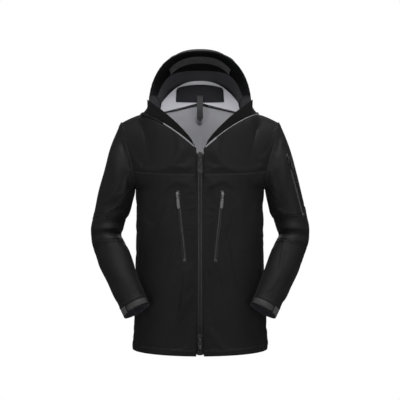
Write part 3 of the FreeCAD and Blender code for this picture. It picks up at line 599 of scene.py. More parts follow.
class Panel:
    """A grid of cloth whose folds fade out towards the seams that hold it."""

    def __init__(self, name, surface, size, cell=5.0 * MM, folds=None, lift=0.0, wrap=False,
                 held="u0 u1 v0 v1", fade=22 * MM, still=None):
        self.name = name
        width, length = size
        self.us = span(0, 1, int(width / cell) + 1)[:-1] if wrap else spaced(width, cell)
        self.vs = spaced(length, cell)
        self.wrap = wrap
        self.points = []
        normals = []
        for u in self.us:
            for v in self.vs:
                inside_u = u if wrap else clamp(u, 1e-3, 1 - 1e-3)
                normals.append(outward(surface, inside_u, clamp(v, 1e-3, 1 - 1e-3)))
                self.points.append(surface(u, v))
        self.edges = self.seam_distances(held.split())
        self.cut = self.cut_size()
        flat = list(self.points)
        self.still = []
        for i, u in enumerate(self.us):
            for j, v in enumerate(self.vs):
                index = i * len(self.vs) + j
                move = lift
                if folds:
                    move += folds(u, v, flat[index]) * smooth(0, fade, self.edges[index])
                self.still.append(still(u, v, flat[index]) if still else 0.0)
                self.points[index] = flat[index] + normals[index] * move

    def cut_size(self):
        """Width, length and area of the cloth as it is cut, before it folds."""
        rows, count = len(self.vs), len(self.us)
        grid = [self.points[i * rows:(i + 1) * rows] for i in range(count)]
        if self.wrap:
            grid.append(grid[0])
        width = max(sum((b[j] - a[j]).length for a, b in zip(grid, grid[1:])) for j in range(rows))
        length = max(sum((b - a).length for a, b in zip(line, line[1:])) for line in grid)
        area = 0.0
        for a, b in zip(grid, grid[1:]):
            for j in range(rows - 1):
                area += 0.5 * (b[j + 1] - a[j]).cross(b[j] - a[j + 1]).length
        return width, length, area

    def seam_distances(self, sides):
        rows, last = len(self.vs), len(self.us) - 1
        distances = []
        for i in range(len(self.us)):
            for j in range(rows):
                here = self.points[i * rows + j]
                ends = {"u0": j, "u1": last * rows + j, "v0": i * rows, "v1": i * rows + rows - 1}
                gaps = [(here - self.points[ends[side]]).length for side in sides]
                distances.append(min(gaps, default=1.0))
        return distances

    def faces(self):
        rows, count = len(self.vs), len(self.us)
        quads = []
        for i in range(count if self.wrap else count - 1):
            k = (i + 1) % count
            for j in range(rows - 1):
                quads.append((i * rows + j, k * rows + j, k * rows + j + 1, i * rows + j + 1))
        return quads

    def build(self, materials, settle=0.0, cap=6 * MM, thickness=CLOTH, groove=0.5 * MM, sink=1.2 * MM):
        """Mesh of the panel; seams sink by the groove, and settle is spare cloth for the simulation."""
        obj = mesh_object(self.name, [to_row(p) for p in self.points], self.faces(), materials)
        pins = obj.vertex_groups.new(name="pin")
        for index, edge in enumerate(self.edges):
            pins.add([index], max(1 - smooth(3 * MM, 14 * MM, edge), self.still[index]), "REPLACE")
        if settle:
            settling.append((obj, settle, cap))
            cuts_in[obj.name] = sink
        obj["thickness"] = thickness
        obj["dips"] = [groove * (1 - smooth(0, 2.6 * MM, edge)) for edge in self.edges]
        return obj


def give_thickness(obj, thickness, inner_slot=0):
    solid = obj.modifiers.new("thickness", "SOLIDIFY")
    solid.thickness = thickness
    solid.offset = -1
    solid.material_offset = inner_slot


def thicken(obj):
    """Sink the seams, drop the pins and give the cloth its thickness, with its second material inside."""
    dips = list(obj["dips"])
    normals = [v.normal.copy() for v in obj.data.vertices]
    for vertex, normal, dip in zip(obj.data.vertices, normals, dips):
        vertex.co -= normal * dip
    del obj["dips"]
    obj.vertex_groups.clear()
    give_thickness(obj, obj["thickness"], 1)
    del obj["thickness"]


def settle_cloth(frames=22):
    """Let the panels with extra cloth buckle and settle between their seams, and keep the result."""
    if not settling:
        return
    scene = bpy.context.scene
    for obj, growth, cap in settling:
        cloth = obj.modifiers.new("Cloth", "CLOTH")
        cloth.settings.vertex_group_mass = "pin"
        cloth.settings.quality = 4
        cloth.settings.mass = 0.3
        cloth.settings.tension_stiffness = 40
        cloth.settings.compression_stiffness = 40
        cloth.settings.shear_stiffness = 20
        cloth.settings.bending_stiffness = 4.0
        cloth.settings.air_damping = 2.0
        cloth.settings.shrink_min = -growth
        cloth.settings.effector_weights.gravity = 0.5
        cloth.collision_settings.use_collision = False
        cloth.point_cache.frame_start = 1
        cloth.point_cache.frame_end = frames
    for step in range(1, frames + 1):
        scene.frame_set(step)
    graph = bpy.context.evaluated_depsgraph_get()
    for obj, growth, cap in settling:
        settled = obj.evaluated_get(graph).data
        moved = [v.co.copy() for v in settled.vertices]
        obj.modifiers.remove(obj.modifiers["Cloth"])
        normals = [vertex.normal.copy() for vertex in obj.data.vertices]
        for vertex, place, normal in zip(obj.data.vertices, moved, normals):
            step = place - vertex.co
            out = step.dot(normal)
            step += normal * (clamp(out, -cuts_in[obj.name], cap) - out)
            if step.length > cap:
                step = step.normalized() * cap
            vertex.co += step
        obj.data.update()
    scene.frame_set(1)


def ripple(point, scale, seed):
    """Slow unevenness of the cloth, -1 to 1."""
    return noise.noise(point * scale + Vector((seed, seed * 1.7, -seed)))


def crisp(point, seed):
    """Small sharp creases of a stiff laminate, about -1 to 1."""
    slow = noise.noise(point * 14 + Vector((seed, 0, 0)))
    ridge = 1 - 2 * abs(noise.noise(point * 30 + Vector((0, seed, 0))))
    return 0.6 * slow + 0.4 * ridge


# ---------------------------------------------------------------- folds

# ends of a chest pocket's zip in millimetres, from the centre line and from the hem
CHEST_ZIP_LOW_X = 46
CHEST_ZIP_HIGH_X = 66
CHEST_ZIP_LOW = 281
CHEST_ZIP_HIGH = 480


def chest_zip_line(along):
    """Distance from the centre line and height of a chest pocket's zip, 0 bottom to 1 top."""
    x = lerp(CHEST_ZIP_LOW_X, CHEST_ZIP_HIGH_X, along) * MM
    return x, lerp(CHEST_ZIP_LOW, CHEST_ZIP_HIGH, along) * MM


def eased(amount, deepest, highest):
    """Height of a fold, eased so that it stays between its deepest and its highest."""
    limit = highest if amount > 0 else deepest
    return limit * math.tanh(amount / limit)


def chest_zip_gap(point):
    """Distance of a place on the front from the nearer chest zip."""
    low, high = CHEST_ZIP_LOW * MM, CHEST_ZIP_HIGH * MM
    zip_x, _ = chest_zip_line(clamp((point.z - low) / (high - low)))
    return math.hypot(abs(point.x) - zip_x, max(low - point.z, point.z - high, 0))


def torso_folds(seed):
    def move(u, v, point):
        calm = smooth(7 * MM, 34 * MM, chest_zip_gap(point)) if point.y < 0 else 1.0
        sag = 3.2 * ripple(point, 6.0, seed) + 1.8 * ripple(point, 13.0, seed + 3)
        return eased((sag + 0.6 * crisp(point, seed) + 0.5) * MM, -1.4 * MM, 4.5 * MM) * calm
    return move


def beside_chest_zip(u, v, point):
    """1 where the cloth is stiffened by a chest zip, falling to 0 away from it."""
    return 1 - smooth(12 * MM, 30 * MM, chest_zip_gap(point)) if point.y < 0 else 0.0


def yoke_folds(seed):
    def move(u, v, point):
        amount = 1.8 * ripple(point, 12.0, seed) + 0.5 * crisp(point, seed) + 0.3
        return eased(amount * MM, -1.0 * MM, 3.0 * MM)
    return move


def below_neck(u, v, point):
    """0 low on the back yoke and 1 beside the neck seam, where its cloth keeps the cut shape."""
    return smooth(0.6, 0.8, v)


ZIP_TURN = 49          # place round the left sleeve where its pocket zip runs


def beside_sleeve_zip(turn, station):
    along = smooth(0.5, 0.8, station) * (1 - smooth(3.6, 3.9, station))
    return along * (1 - smooth(12, 28, abs(turn - ZIP_TURN)))


def sleeve_folds(seed, zipped):
    """Pressed-in elbow creases, long drag lines and a soft crumple; station runs down the sleeve."""
    def move(turn, station, point):
        inner = 0.5 - 0.5 * math.cos(math.radians(turn - 300))
        elbow = bump_at(station, 3.95, 1.15)
        creases = math.sin(9.0 * (station + 0.004 * turn) + 2.2 * ripple(point, 7.0, seed))
        drag = math.sin(3.1 * station - 0.05 * turn + 3.0 * ripple(point, 4.0, seed + 5))
        front = max(math.cos(math.radians(turn - 105)), 0.0) ** 0.6
        below = station - 3.93 - 0.08 * math.cos(math.radians(turn - 60))
        over = 5.5 * math.exp(-(below / 0.22) ** 2) if below < 0 else 0.0
        under = -8.0 * math.exp(-((below - 0.13) / 0.11) ** 2)
        fold = (over + under) * front
        amount = 2.0 * elbow * inner * creases + 1.3 * drag * (0.3 + 0.7 * inner) + fold
        amount -= 3.0 * bump_at(station, 0.3, 0.26) * front
        amount += 0.4 * crisp(point, seed) + 1.2 * ripple(point, 9.0, seed + 9)
        deepest = -8.0
        if zipped:
            amount *= 1 - beside_sleeve_zip(turn, station)
            deepest = lerp(-1.4, -8.0, smooth(3.3, 3.5, station))
        calm = smooth(0, 0.35, station) * (1 - smooth(5.9, 6.6, station))
        return eased((amount - 0.4) * MM, deepest * MM, 6.5 * MM) * calm
    return move


# ---------------------------------------------------------------- body and sleeves

SHELL_IN = [MATERIAL["shell"], MATERIAL["backer"]]
SHELL_CUFF = [MATERIAL["shell"], MATERIAL["cuff_lining"]]
cloth_list = []
cut_sizes = {}


def panel(name, surface, size, body, replaces, slot="shell", materials=SHELL_IN, settle=0.0, cap=6 * MM,
          thickness=CLOTH, groove=0.5 * MM, sink=1.2 * MM, **options):
    cut = Panel(name, surface, size, **options)
    obj = cut.build(materials, settle, cap, thickness, groove, sink)
    cloth_list.append((obj, body, slot, replaces))
    cut_sizes[name] = cut.cut


for name, side in SIDES:
    panel("front_" + name, on_side(front_surface, side), (0.20, 0.54), "root", ["front_panel_" + name],
          folds=torso_folds(11 + side), settle=0.010, still=beside_chest_zip)
    panel("flank_" + name, on_side(side_surface, side), (0.10, 0.49), "root", ["side_panel_" + name],
          folds=torso_folds(31 + side), settle=0.012)
    panel("yoke_front_" + name, on_side(front_yoke_surface, side), (0.23, 0.18), "root",
          ["front_yoke_" + name, "neckline_facing_" + name], folds=yoke_folds(5 + side), settle=0.008)
panel("back", whole_back, (0.40, 0.54), "root", ["back_panel"],
      folds=torso_folds(71), settle=0.014)
panel("yoke_back", lambda u, v: back_yoke_surface(2 * u - 1, v), (0.50, 0.22), "root",
      ["back_yoke", "back_yoke_lining"], settle=0.010, cap=3 * MM, still=below_neck,
      folds=lambda u, v, p: yoke_folds(17)(u, v, p) * (1 - below_neck(u, v, p)))

ELBOW_TOP = 3.5
ELBOW_BOTTOM = 4.5
CUFF_TOP = 6.7


def sleeve_length(name, side, first, last, size, body, replaces, materials=SHELL_CUFF, settle=0.012):
    folds = sleeve_folds(40 + 7 * side, side > 0)
    tube = on_side(lambda u, v: sleeve_point(360 * u, lerp(first, last, v)), side)

    def shaped(u, v, point):
        turn = 360 * (u if side > 0 else 1 - u)
        return folds(turn, lerp(first, last, v), Vector((abs(point.x), point.y, point.z)))

    def stiff(u, v, point):
        return beside_sleeve_zip(360 * u, lerp(first, last, v))
    panel(name, tube, size, body, replaces, materials=materials, settle=settle, cap=7 * MM, sink=0.8 * MM,
          folds=shaped, wrap=True, held="v0 v1", fade=1 * MM, groove=0.3 * MM,
          still=stiff if side > 0 else None)


for name, side in SIDES:
    sleeve_length("sleeve_upper_" + name, side, 0, ELBOW_TOP, (0.44, 0.30), "root", ["upper_sleeve_" + name],
                  materials=SHELL_IN)
    centre_top = (sleeve_point(0, ELBOW_TOP) + sleeve_point(180, ELBOW_TOP)) / 2
    centre_bottom = (sleeve_point(0, ELBOW_BOTTOM) + sleeve_point(180, ELBOW_BOTTOM)) / 2
    line = [to_row(Vector((side * c.x, c.y, c.z))) for c in (centre_top, centre_bottom)]
    sleeve_length("sleeve_elbow_" + name, side, ELBOW_TOP, ELBOW_BOTTOM, (0.36, 0.09),
                  ("root", "forearm_" + name, line[0], line[1]), ["elbow_panel_" + name], settle=0.0)
    sleeve_length("sleeve_lower_" + name, side, ELBOW_BOTTOM, CUFF_TOP, (0.33, 0.20), "forearm_" + name,
                  ["forearm_" + name])
    sleeve_length("cuff_" + name, side, CUFF_TOP, LAST, (0.24, 0.03), "forearm_" + name,
                  ["cuff_band_" + name], settle=0.0)

# ---------------------------------------------------------------- hood

CROWN = 0.27
SKIRT = 0.88
NAPE = 0.93
INNER = 0.85
HOOD_IN = [MATERIAL["shell"], MATERIAL["dark_lining"]]


def hood_part(low, high, start, end, out=0.0):
    """Piece of the hood between two places across and two from rim to nape."""
    def surface(u, v):
        point = hood_point(lerp(low, high, u), lerp(start, end, v))
        if not out:
            return point
        return point + outward(hood_point, lerp(low, high, u), clamp(lerp(start, end, v), 0.002, 0.998)) * out
    return surface


def hood_folds(seed):
    def move(u, v, point):
        amount = 2.2 * ripple(point, 9.0, seed) + 0.5 * crisp(point, seed) + 0.8
        return eased(amount * MM, -0.3 * MM, 3.2 * MM) * (1 - beside_nape(u, v, point))
    return move


def beside_nape(u, v, point):
    """0 over the front of the hood and 1 towards the nape, where its cloth keeps the cut shape."""
    return smooth(0.55, 0.75, v)


def lining_folds(seed):
    def move(u, v, point):
        return eased((2.4 * ripple(point, 9.0, seed) - 0.8) * MM, -3.0 * MM, 0.2 * MM)
    return move


panel("hood_top", hood_part(-CROWN, CROWN, 0, NAPE), (0.17, 0.45), "hood", ["hood_crown"], materials=HOOD_IN,
      folds=hood_folds(3), settle=0.012, sink=0.3 * MM, still=beside_nape)
for name, side in SIDES:
    near, far = sorted((side * CROWN, side * SKIRT))
    panel("hood_flank_" + name, hood_part(near, far, 0, NAPE), (0.16, 0.33), "hood", ["hood_side_" + name],
          materials=HOOD_IN, folds=hood_folds(21 + side), settle=0.012, sink=0.3 * MM,
          still=beside_nape)


def blend_between(low, high):
    """Two places along a skirt: past every point of its seam, before every point of its edge."""
    rise = (low[-1].z - low[0].z) / max(abs(low[-1].y - low[0].y), 0.02)
    direction = Vector((0, -rise, 1)).normalized() if low[-1].y > low[0].y + 0.03 else Vector((0, 0, 1))
    start = sum((p.dot(direction) for p in low), 0.0) / len(low)
    end = sum((p.dot(direction) for p in high), 0.0) / len(high)
    middle = (low[0] + low[-1]) / 2
    foot = middle + direction * (start - middle.dot(direction))
    return foot, foot + direction * (end - start)


for name, side in SIDES:
    low = [to_row(hood_point(side * 0.998, v)) for v in span(0.01, NAPE, 7)]
    high = [to_row(hood_point(side * SKIRT, v)) for v in span(0.01, NAPE, 7)]
    near, far = sorted((side * SKIRT, side * 1.0))
    foot, top = blend_between(low, high)
    panel("hood_skirt_" + name, hood_part(near, far, 0.0, NAPE), (0.05, 0.3), ("root", "hood", foot, top), [],
          materials=HOOD_IN, groove=0.5 * MM)
low = [to_row(hood_point(u, 1.0)) for u in span(-0.9, 0.9, 7)]
high = [to_row(hood_point(u, NAPE)) for u in span(-0.9, 0.9, 7)]
panel("hood_skirt_back", hood_part(-SKIRT, SKIRT, NAPE, 1.0), (0.2, 0.03),
      ("root", "hood", *blend_between(low, high)), ["hood_skirt"], materials=HOOD_IN, groove=0.5 * MM)

# lining, near-black facing inside the rim and the gathered adjuster tunnel
FACING_CROWN = 0.58    # the dark facing reaches this far back at the crown and narrows down the sides


def facing_end(across):
    return FACING_CROWN - 0.27 * across * across


def inside_hood(low_back, high_back, depth):
    def surface(u, v):
        across = lerp(-INNER, INNER, u)
        low = low_back if low_back is not None else facing_end(across)
        high = high_back if high_back is not None else facing_end(across)
        back = lerp(low, high, v)
        return hood_point(across, back) - outward(hood_point, across, back) * depth
    return surface


panel("hood_inner", inside_hood(None, 0.92, 3.2 * MM), (0.45, 0.2), "hood", ["hood_lining"],
      slot="dark_lining", materials=[MATERIAL["dark_lining"]] * 2, folds=lining_folds(33), groove=0.0)
panel("hood_facing", inside_hood(0.004, None, 2.8 * MM), (0.5, 0.22), "hood", ["hood_rim_facing"],
      slot="shell_facing", materials=[MATERIAL["facing"]] * 2, groove=0.4 * MM)


BAND_HALF = 0.48       # share of the hood's half width that the tunnel spans
BAND_FRONT = 0.41
BAND_BACK = 0.505
RIB_TURNS = 250


def band_surface(u, v):
    """Tunnel across the hood's inside: full in the middle, gathered into ribs, with squared ends."""
    across = lerp(-BAND_HALF, BAND_HALF, u)
    ribs = 0.5 + 0.5 * math.sin(RIB_TURNS * u + 5 * v)
    full = math.sin(math.pi * clamp(v)) ** 0.5 if 0 < v < 1 else 0.0
    depth = 3.9 * MM + (2.0 + 1.7 * ribs) * full * MM
    back = lerp(BAND_FRONT, BAND_BACK, v)
    return hood_point(across, back) - outward(hood_point, across, back) * depth


panel("adjuster_band", band_surface, (0.26, 0.05), "hood", ["hood_adjuster_band"], slot="gathered_band",
      materials=[MATERIAL["band"]] * 2, cell=1.5 * MM, groove=0.0)

# ---------------------------------------------------------------- collar

# the collar's inside takes the lighter copy of the backer, which is painted light
COLLAR = [MATERIAL["shell"], MATERIAL["collar_face"]]
panel("collar_inner", collar_point, (0.30, 0.09), "root", ["collar_back"], slot="backer", materials=COLLAR,
      folds=lambda u, v, p: 0.8 * MM * ripple(p, 18.0, 2), fade=10 * MM)


PATCH_FOOT = NECK_BACK + 1.5 * MM
PATCH_TOP = 827 * MM


def patch_surface(u, v):
    """Fleece patch inside the collar: straight below, rounded at its upper corners."""
    around = lerp(0.22, 0.78, u)
    foot, top = collar_point(around, 0.0).z, collar_point(around, 1.0).z
    reach = abs(2 * u - 1)
    rounding = clamp((reach - 0.88) / 0.12)
    level = PATCH_TOP - 13 * MM * reach * reach - 8 * MM * (1 - math.sqrt(1 - rounding ** 2))
    low = max((PATCH_FOOT - foot) / (top - foot), 0.0)
    high = (level - foot) / (top - foot)
    return collar_point(around, lerp(low, high, v)) - Vector((0, 2.6 * MM, 0))


panel("neck_fleece", patch_surface, (0.16, 0.06), "root", ["neck_patch"], slot="neck_patch",
      materials=[MATERIAL["patch"]] * 2, cell=3 * MM, thickness=1.0 * MM, groove=0.5 * MM)
for name, side in SIDES:
    panel("chin_" + name, on_side(chin_point, side), (0.20, 0.05), "root", ["chin_collar_" + name],
          materials=[MATERIAL["shell"], MATERIAL["facing"]], cell=3.5 * MM,
          folds=lambda u, v, p: (1.2 * ripple(p, 16.0, 8) + 0.5 * crisp(p, 2)) * MM, fade=10 * MM)

# pocket bags, storm flap and hem facing, seen from inside and below
BACKER_ONLY = [MATERIAL["backer"]] * 2
FACING_ONLY = [MATERIAL["facing"]] * 2
HEM_INSIDE = Vector((0, 1.6 * MM, 0))

# in millimetres
BAG_INNER = 24
BAG_OUTER = 150
BAG_BOTTOM = 238
BAG_TOP = 505
BAG_SLOPE = 40
BAG_BEHIND = 5.6
SLEEVE_BAG_BEHIND = 6.4
FLAP_HALF = 17
FLAP_BEHIND = 5.0


def bag_surface(u, v):
    height = lerp(BAG_BOTTOM, BAG_TOP - BAG_SLOPE * u, v) * MM
    angle = math.asin(lerp(BAG_INNER, BAG_OUTER, u) * MM / body_half_width(height))
    facing = Vector((math.sin(angle), -math.cos(angle), 0))
    return body_point(angle, height, FRONT) - facing * BAG_BEHIND * MM


def hem_height(v):
    return lerp(0.004, 0.05, v)


def hem_front_surface(u, v):
    return front_surface(lerp(0.03, 0.98, u), hem_height(v)) + HEM_INSIDE


def hem_back_surface(u, v):
    return back_surface(lerp(-0.98, 0.98, u), hem_height(v)) - HEM_INSIDE


def sleeve_bag_surface(u, v):
    station = lerp(3.3, 1.1, v)
    inwards = (sleeve_point(270, station) - sleeve_point(90, station)).normalized()
    return sleeve_point(lerp(104, 40, u), station) + inwards * SLEEVE_BAG_BEHIND * MM


def wind_flap_surface(u, v):
    height = lerp(5 * MM, NECK_FRONT - 7 * MM, v)
    return Vector((lerp(-FLAP_HALF, FLAP_HALF, u) * MM, -FRONT + FLAP_BEHIND * MM, height))


for name, side in SIDES:
    panel("pocket_bag_" + name, on_side(bag_surface, side), (0.13, 0.25), "root",
          ["chest_pocket_bag_" + name], slot="backer", materials=BACKER_ONLY, groove=0.0)
    panel("hem_facing_" + name, on_side(hem_front_surface, side), (0.2, 0.026), "root", [], slot="backer",
          materials=FACING_ONLY, groove=0.2 * MM)
panel("hem_facing_back", hem_back_surface, (0.4, 0.026), "root", ["hem_facing"], slot="backer",
      materials=FACING_ONLY, groove=0.2 * MM)
panel("sleeve_bag", sleeve_bag_surface, (0.1, 0.18), "root", ["sleeve_pocket_bag"], slot="backer",
      materials=BACKER_ONLY, groove=0.0)
panel("wind_flap", wind_flap_surface, (0.034, 0.58), "root", ["storm_flap"], slot="backer",
      materials=SHELL_IN, groove=0.3 * MM)

settle_cloth()
skins = {}
for obj, body, slot_name, stands_for in cloth_list:
    corners = [v.co for v in obj.data.vertices]
    skins[obj.name] = BVHTree.FromPolygons(corners, [p.vertices for p in obj.data.polygons])
    thicken(obj)
    finish_piece(obj, body, slot_name, stands_for)

# what each piece of cloth is sewn to and hangs from
HANGS_FROM = {
    "front": "yoke_front", "flank": "sleeve_upper", "yoke_front": "yoke_back", "back": "yoke_back",
    "yoke_back": "hang_loop", "sleeve_upper": "yoke_front", "sleeve_elbow": "sleeve_upper",
    "sleeve_lower": "sleeve_elbow", "cuff": "sleeve_lower", "hood_top": "hood_flank_left",
    "hood_flank": "hood_skirt", "hood_skirt": "yoke_front", "hood_skirt_back": "yoke_back",
    "hood_inner": "hood_top", "hood_facing": "hood_top", "adjuster_band": "hood_facing",
    "collar_inner": "yoke_back", "neck_fleece": "collar_inner", "chin": "yoke_front", "pocket_bag": "front",
    "hem_facing": "front", "hem_facing_back": "back", "sleeve_bag": "sleeve_upper_left",
    "wind_flap": "front_right",
}


def hangs_from(name):
    """The piece above, on the same side where there are two."""
    if name in HANGS_FROM:
        return HANGS_FROM[name]
    stem, side_name = name.rsplit("_", 1)
    above = HANGS_FROM[stem]
    return above + "_" + side_name if above + "_" + side_name in cut_sizes else above


for obj, _, _, _ in cloth_list:
    width, length, area = cut_sizes[obj.name]
    hangs_from(obj.name)
    min(area, width * length)

# ---------------------------------------------------------------- strips, stitches and hardware


def place(surface, across, along):
    """A point on a surface with its outward normal, in the row frame."""
    return to_row(surface(across, along)), outward(surface, across, along)


def zip_strip(name, surface, profile, rows, replaces, low=0.0, high=1.0):
    """Strip along a surface, across in metres and along 0..1, with a cross-section of (across, height)."""
    verts, faces = [], []
    count = len(profile)
    for along in span(low, high, rows):
        for across, height in profile:
            point, normal = place(surface, across, along)
            verts.append(point + normal * height)
    for j in range(rows - 1):
        for i in range(count - 1):
            a = j * count + i
            faces.append((a, a + 1, a + count + 1, a + count))
    obj = mesh_object(name, verts, faces, [MATERIAL["zip_tape"]])
    give_thickness(obj, 0.7 * MM)
    finish_piece(obj, "root", "zip_tape", replaces)


def lips(half, gap, rise, tape=0.35):
    """Cross-section of a coated zip: flat tape with two rounded lips that meet at the middle."""
    right = [(gap, tape - 0.3), (gap + 0.5, rise * 0.85), (half * 0.28, rise), (half * 0.42, rise * 0.8),
             (half * 0.52, tape + 0.1), (half * 0.8, tape), (half, 0.05)]
    left = [(-x, h) for x, h in reversed(right)]
    return [(x * MM, h * MM) for x, h in left + right]


def stitch_row(name, path, body="root", slot="shell", pitch=3.0 * MM, length=2.1 * MM, radius=0.30 * MM):
    """Row of stitches along a path of (point, normal): each is a short, slightly sunken capsule."""
    verts, faces = [], []
    travel = 0.0
    for (start, normal), (finish, _) in zip(path, path[1:]):
        run = (finish - start).length
        if run < 1e-7:
            continue
        way = (finish - start) / run
        side = normal.cross(way).normalized()
        while travel < run:
            middle = start + way * travel
            first = len(verts)
            for share, size in ((-0.5, 0.45), (-0.25, 1.0), (0.25, 1.0), (0.5, 0.45)):
                centre = middle + way * length * share
                for k in range(6):
                    turn = math.pi * k / 3
                    verts.append(centre + (side * math.cos(turn) + normal * math.sin(turn)) * radius * size)
            for ring in range(3):
                for k in range(6):
                    a = first + ring * 6 + k
                    b = first + ring * 6 + (k + 1) % 6
                    faces.append((a, b, b + 6, a + 6))
            faces.append(tuple(first + k for k in reversed(range(6))))
            faces.append(tuple(first + 18 + k for k in range(6)))
            travel += pitch
        travel -= run
    obj = mesh_object(name, verts, faces, [MATERIAL["thread"]])
    finish_piece(obj, body, slot)


def path_on(surface, points, lift=0.15 * MM):
    found = []
    for across, along in points:
        point, normal = place(surface, across, along)
        found.append((point + normal * lift, normal))
    return found


def on_cloth(path, names, lift=0.15 * MM):
    """The path laid on the settled cloth of the named pieces."""
    laid = []
    for point, normal in path:
        spot = min((skins[name].find_nearest(point) for name in names), key=lambda hit: hit[3])[0]
        laid.append((spot + normal * lift, normal))
    return laid


def welt(name, path, body, material, slot="shell", half=1.6 * MM, height=0.8 * MM):
    """Raised seam or binding along a path of (point, normal)."""
    verts, faces = [], []
    profile = ((-1, -0.4), (-0.7, 0.75), (0, 1.0), (0.7, 0.75), (1, -0.4))
    count = len(profile)
    for i, (point, normal) in enumerate(path):
        way = (path[min(i + 1, len(path) - 1)][0] - path[max(i - 1, 0)][0]).normalized()
        across = normal.cross(way)
        for share, rise in profile:
            verts.append(point + across * half * share + normal * height * rise)
    for j in range(len(path) - 1):
        for i in range(count - 1):
            a = j * count + i
            faces.append((a, a + count, a + count + 1, a + 1))
    obj = mesh_object(name, verts, faces, [material])
    give_thickness(obj, 0.5 * MM)
    finish_piece(obj, body, slot)


def frame_at(point, up, facing):
    """Matrix with local Z along up and local -Y facing out."""
    z = up.normalized()
    y = (z * facing.dot(z) - facing).normalized()
    x = y.cross(z)
    matrix = Matrix.Identity(4)
    for row in range(3):
        matrix[row][0], matrix[row][1], matrix[row][2], matrix[row][3] = x[row], y[row], z[row], point[row]
    return matrix


def slab(mesh, outline, near, far):
    """Add a prism with an outline in local (x, z) between two depths along local Y. Millimetres."""
    front = [mesh.verts.new((x * MM, near * MM, z * MM)) for x, z in outline]
    back = [mesh.verts.new((x * MM, far * MM, z * MM)) for x, z in outline]
    mesh.faces.new(front)
    mesh.faces.new(list(reversed(back)))
    count = len(outline)
    for i in range(count):
        k = (i + 1) % count
        mesh.faces.new((front[k], front[i], back[i], back[k]))


def bar(mesh, left, right, low, high, near, far):
    """Add a block between two places in local x, z and y. Millimetres."""
    slab(mesh, [(right, high), (left, high), (left, low), (right, low)], near, far)


def hardware(name, matrix, fill, material, body, slot, replaces=(), bevel=0.35):
    mesh = bmesh.new()
    fill(mesh)
    bmesh.ops.recalc_face_normals(mesh, faces=mesh.faces)
    data = bpy.data.meshes.new(name)
    mesh.to_mesh(data)
    mesh.free()
    data.transform(matrix)
    obj = bpy.data.objects.new(name, data)
    bpy.context.collection.objects.link(obj)
    data.materials.append(material)
    for polygon in data.polygons:
        polygon.use_smooth = True
    edge = obj.modifiers.new("edges", "BEVEL")
    edge.width = bevel * MM
    edge.segments = 3
    edge.limit_method = "ANGLE"
    edge.harden_normals = True
    finish_piece(obj, body, slot, replaces)


def rounded(half_x, low, high, corner, points=5):
    """Rounded rectangle in (x, z), anticlockwise seen from local -Y."""
    outline = []
    for cx, cz, start in ((half_x - corner, high - corner, 0), (corner - half_x, high - corner, 90),
                          (corner - half_x, low + corner, 180), (half_x - corner, low + corner, 270)):
        for k in range(points):
            turn = math.radians(start + 90 * k / (points - 1))
            outline.append((cx + corner * math.cos(turn), cz + corner * math.sin(turn)))
    return outline


def ring_fill(radius, wire, points=22, around=8):
    """Small ring that lies on the cloth. Millimetres."""
    def fill(mesh):
        rings = []
        for i in range(points):
            turn = 2 * math.pi * i / points
            ring = []
            for k in range(around):
                round_wire = 2 * math.pi * k / around
                far = radius + wire * math.cos(round_wire)
                y = wire * math.sin(round_wire) - wire
                ring.append(mesh.verts.new((far * math.cos(turn) * MM, y * MM, far * math.sin(turn) * MM)))
            rings.append(ring)
        for i in range(points):
            for k in range(around):
                following = (k + 1) % around
                mesh.faces.new((rings[i][k], rings[i][following], rings[(i + 1) % points][following],
                                rings[(i + 1) % points][k]))
    return fill


# parts of a slider in millimetres: gap under the plate, plate, bar above it, pin past the bar, half the bar
LIFT = 1.3
PLATE = 1.4
BAR_RISE = 2.9
PIN = 1.0
BAR = 0.55


def slider_fill(half, length, eye):
    """Shouldered plate, side flanges and a bridge over the pull's eye."""
    def fill(mesh):
        top, waist = length / 2, half * 0.78
        edge = [(half * 0.75, top), (half, top * 0.55), (half, 0.1 * top), (waist, -top * 0.8),
                (waist * 0.8, -top)]
        outline = edge + [(-x, z) for x, z in reversed(edge)]
        slab(mesh, outline, -LIFT - PLATE, -LIFT)
        for sign in (-1, 1):
            x0, x1 = sorted((sign * half, sign * (half - 1.2)))
            bar(mesh, x0, x1, -top * 0.7, top * 0.6, -LIFT, -0.3)
            lug0, lug1 = sorted((sign * (eye / 2 + 0.3), sign * (eye / 2 + 1.5)))
            bar(mesh, lug0, lug1, -1.9, 1.9, -LIFT - PLATE - BAR_RISE - PIN, -LIFT - PLATE)
        bar(mesh, -eye / 2 - 0.6, eye / 2 + 0.6, -BAR, BAR,
            -LIFT - PLATE - BAR_RISE - BAR, -LIFT - PLATE - BAR_RISE + BAR)
    return fill


def pull_fill(half, length, eye, thick):
    """Eye, tapering neck and a teardrop body with a sunken panel, a rim and grip bars."""
    def fill(mesh):
        neck = eye / 2
        outline = [(neck, -1.4), (-neck, -1.4), (-neck, -5), (-half * 0.8, -length * 0.35),
                   (-half, -length * 0.6), (-half, -length + half)]
        for k in range(1, 6):
            turn = math.radians(180 + 30 * k)
            outline.append((half * math.cos(turn), -length + half + half * math.sin(turn)))
        outline += [(half, -length + half), (half, -length * 0.6), (half * 0.8, -length * 0.35), (neck, -5)]
        slab(mesh, outline, -thick * 0.34, thick * 0.34)
        inner = half - 1.5
        for sign in (-1, 1):
            x0, x1 = sorted((sign * half * 0.98, sign * inner))
            bar(mesh, x0, x1, half - length, -length * 0.58, -thick / 2, thick / 2)
        for k in range(4):
            z = -length * 0.62 - k * length * 0.075
            bar(mesh, -inner * 0.8, inner * 0.8, z - 0.6, z + 0.6, -thick * 0.46, thick * 0.46)
        for sign in (-1, 1):
            bar(mesh, -neck, neck, sign * 1.35 - 0.45, sign * 1.35 + 0.45, -1.5, 1.5)
    return fill


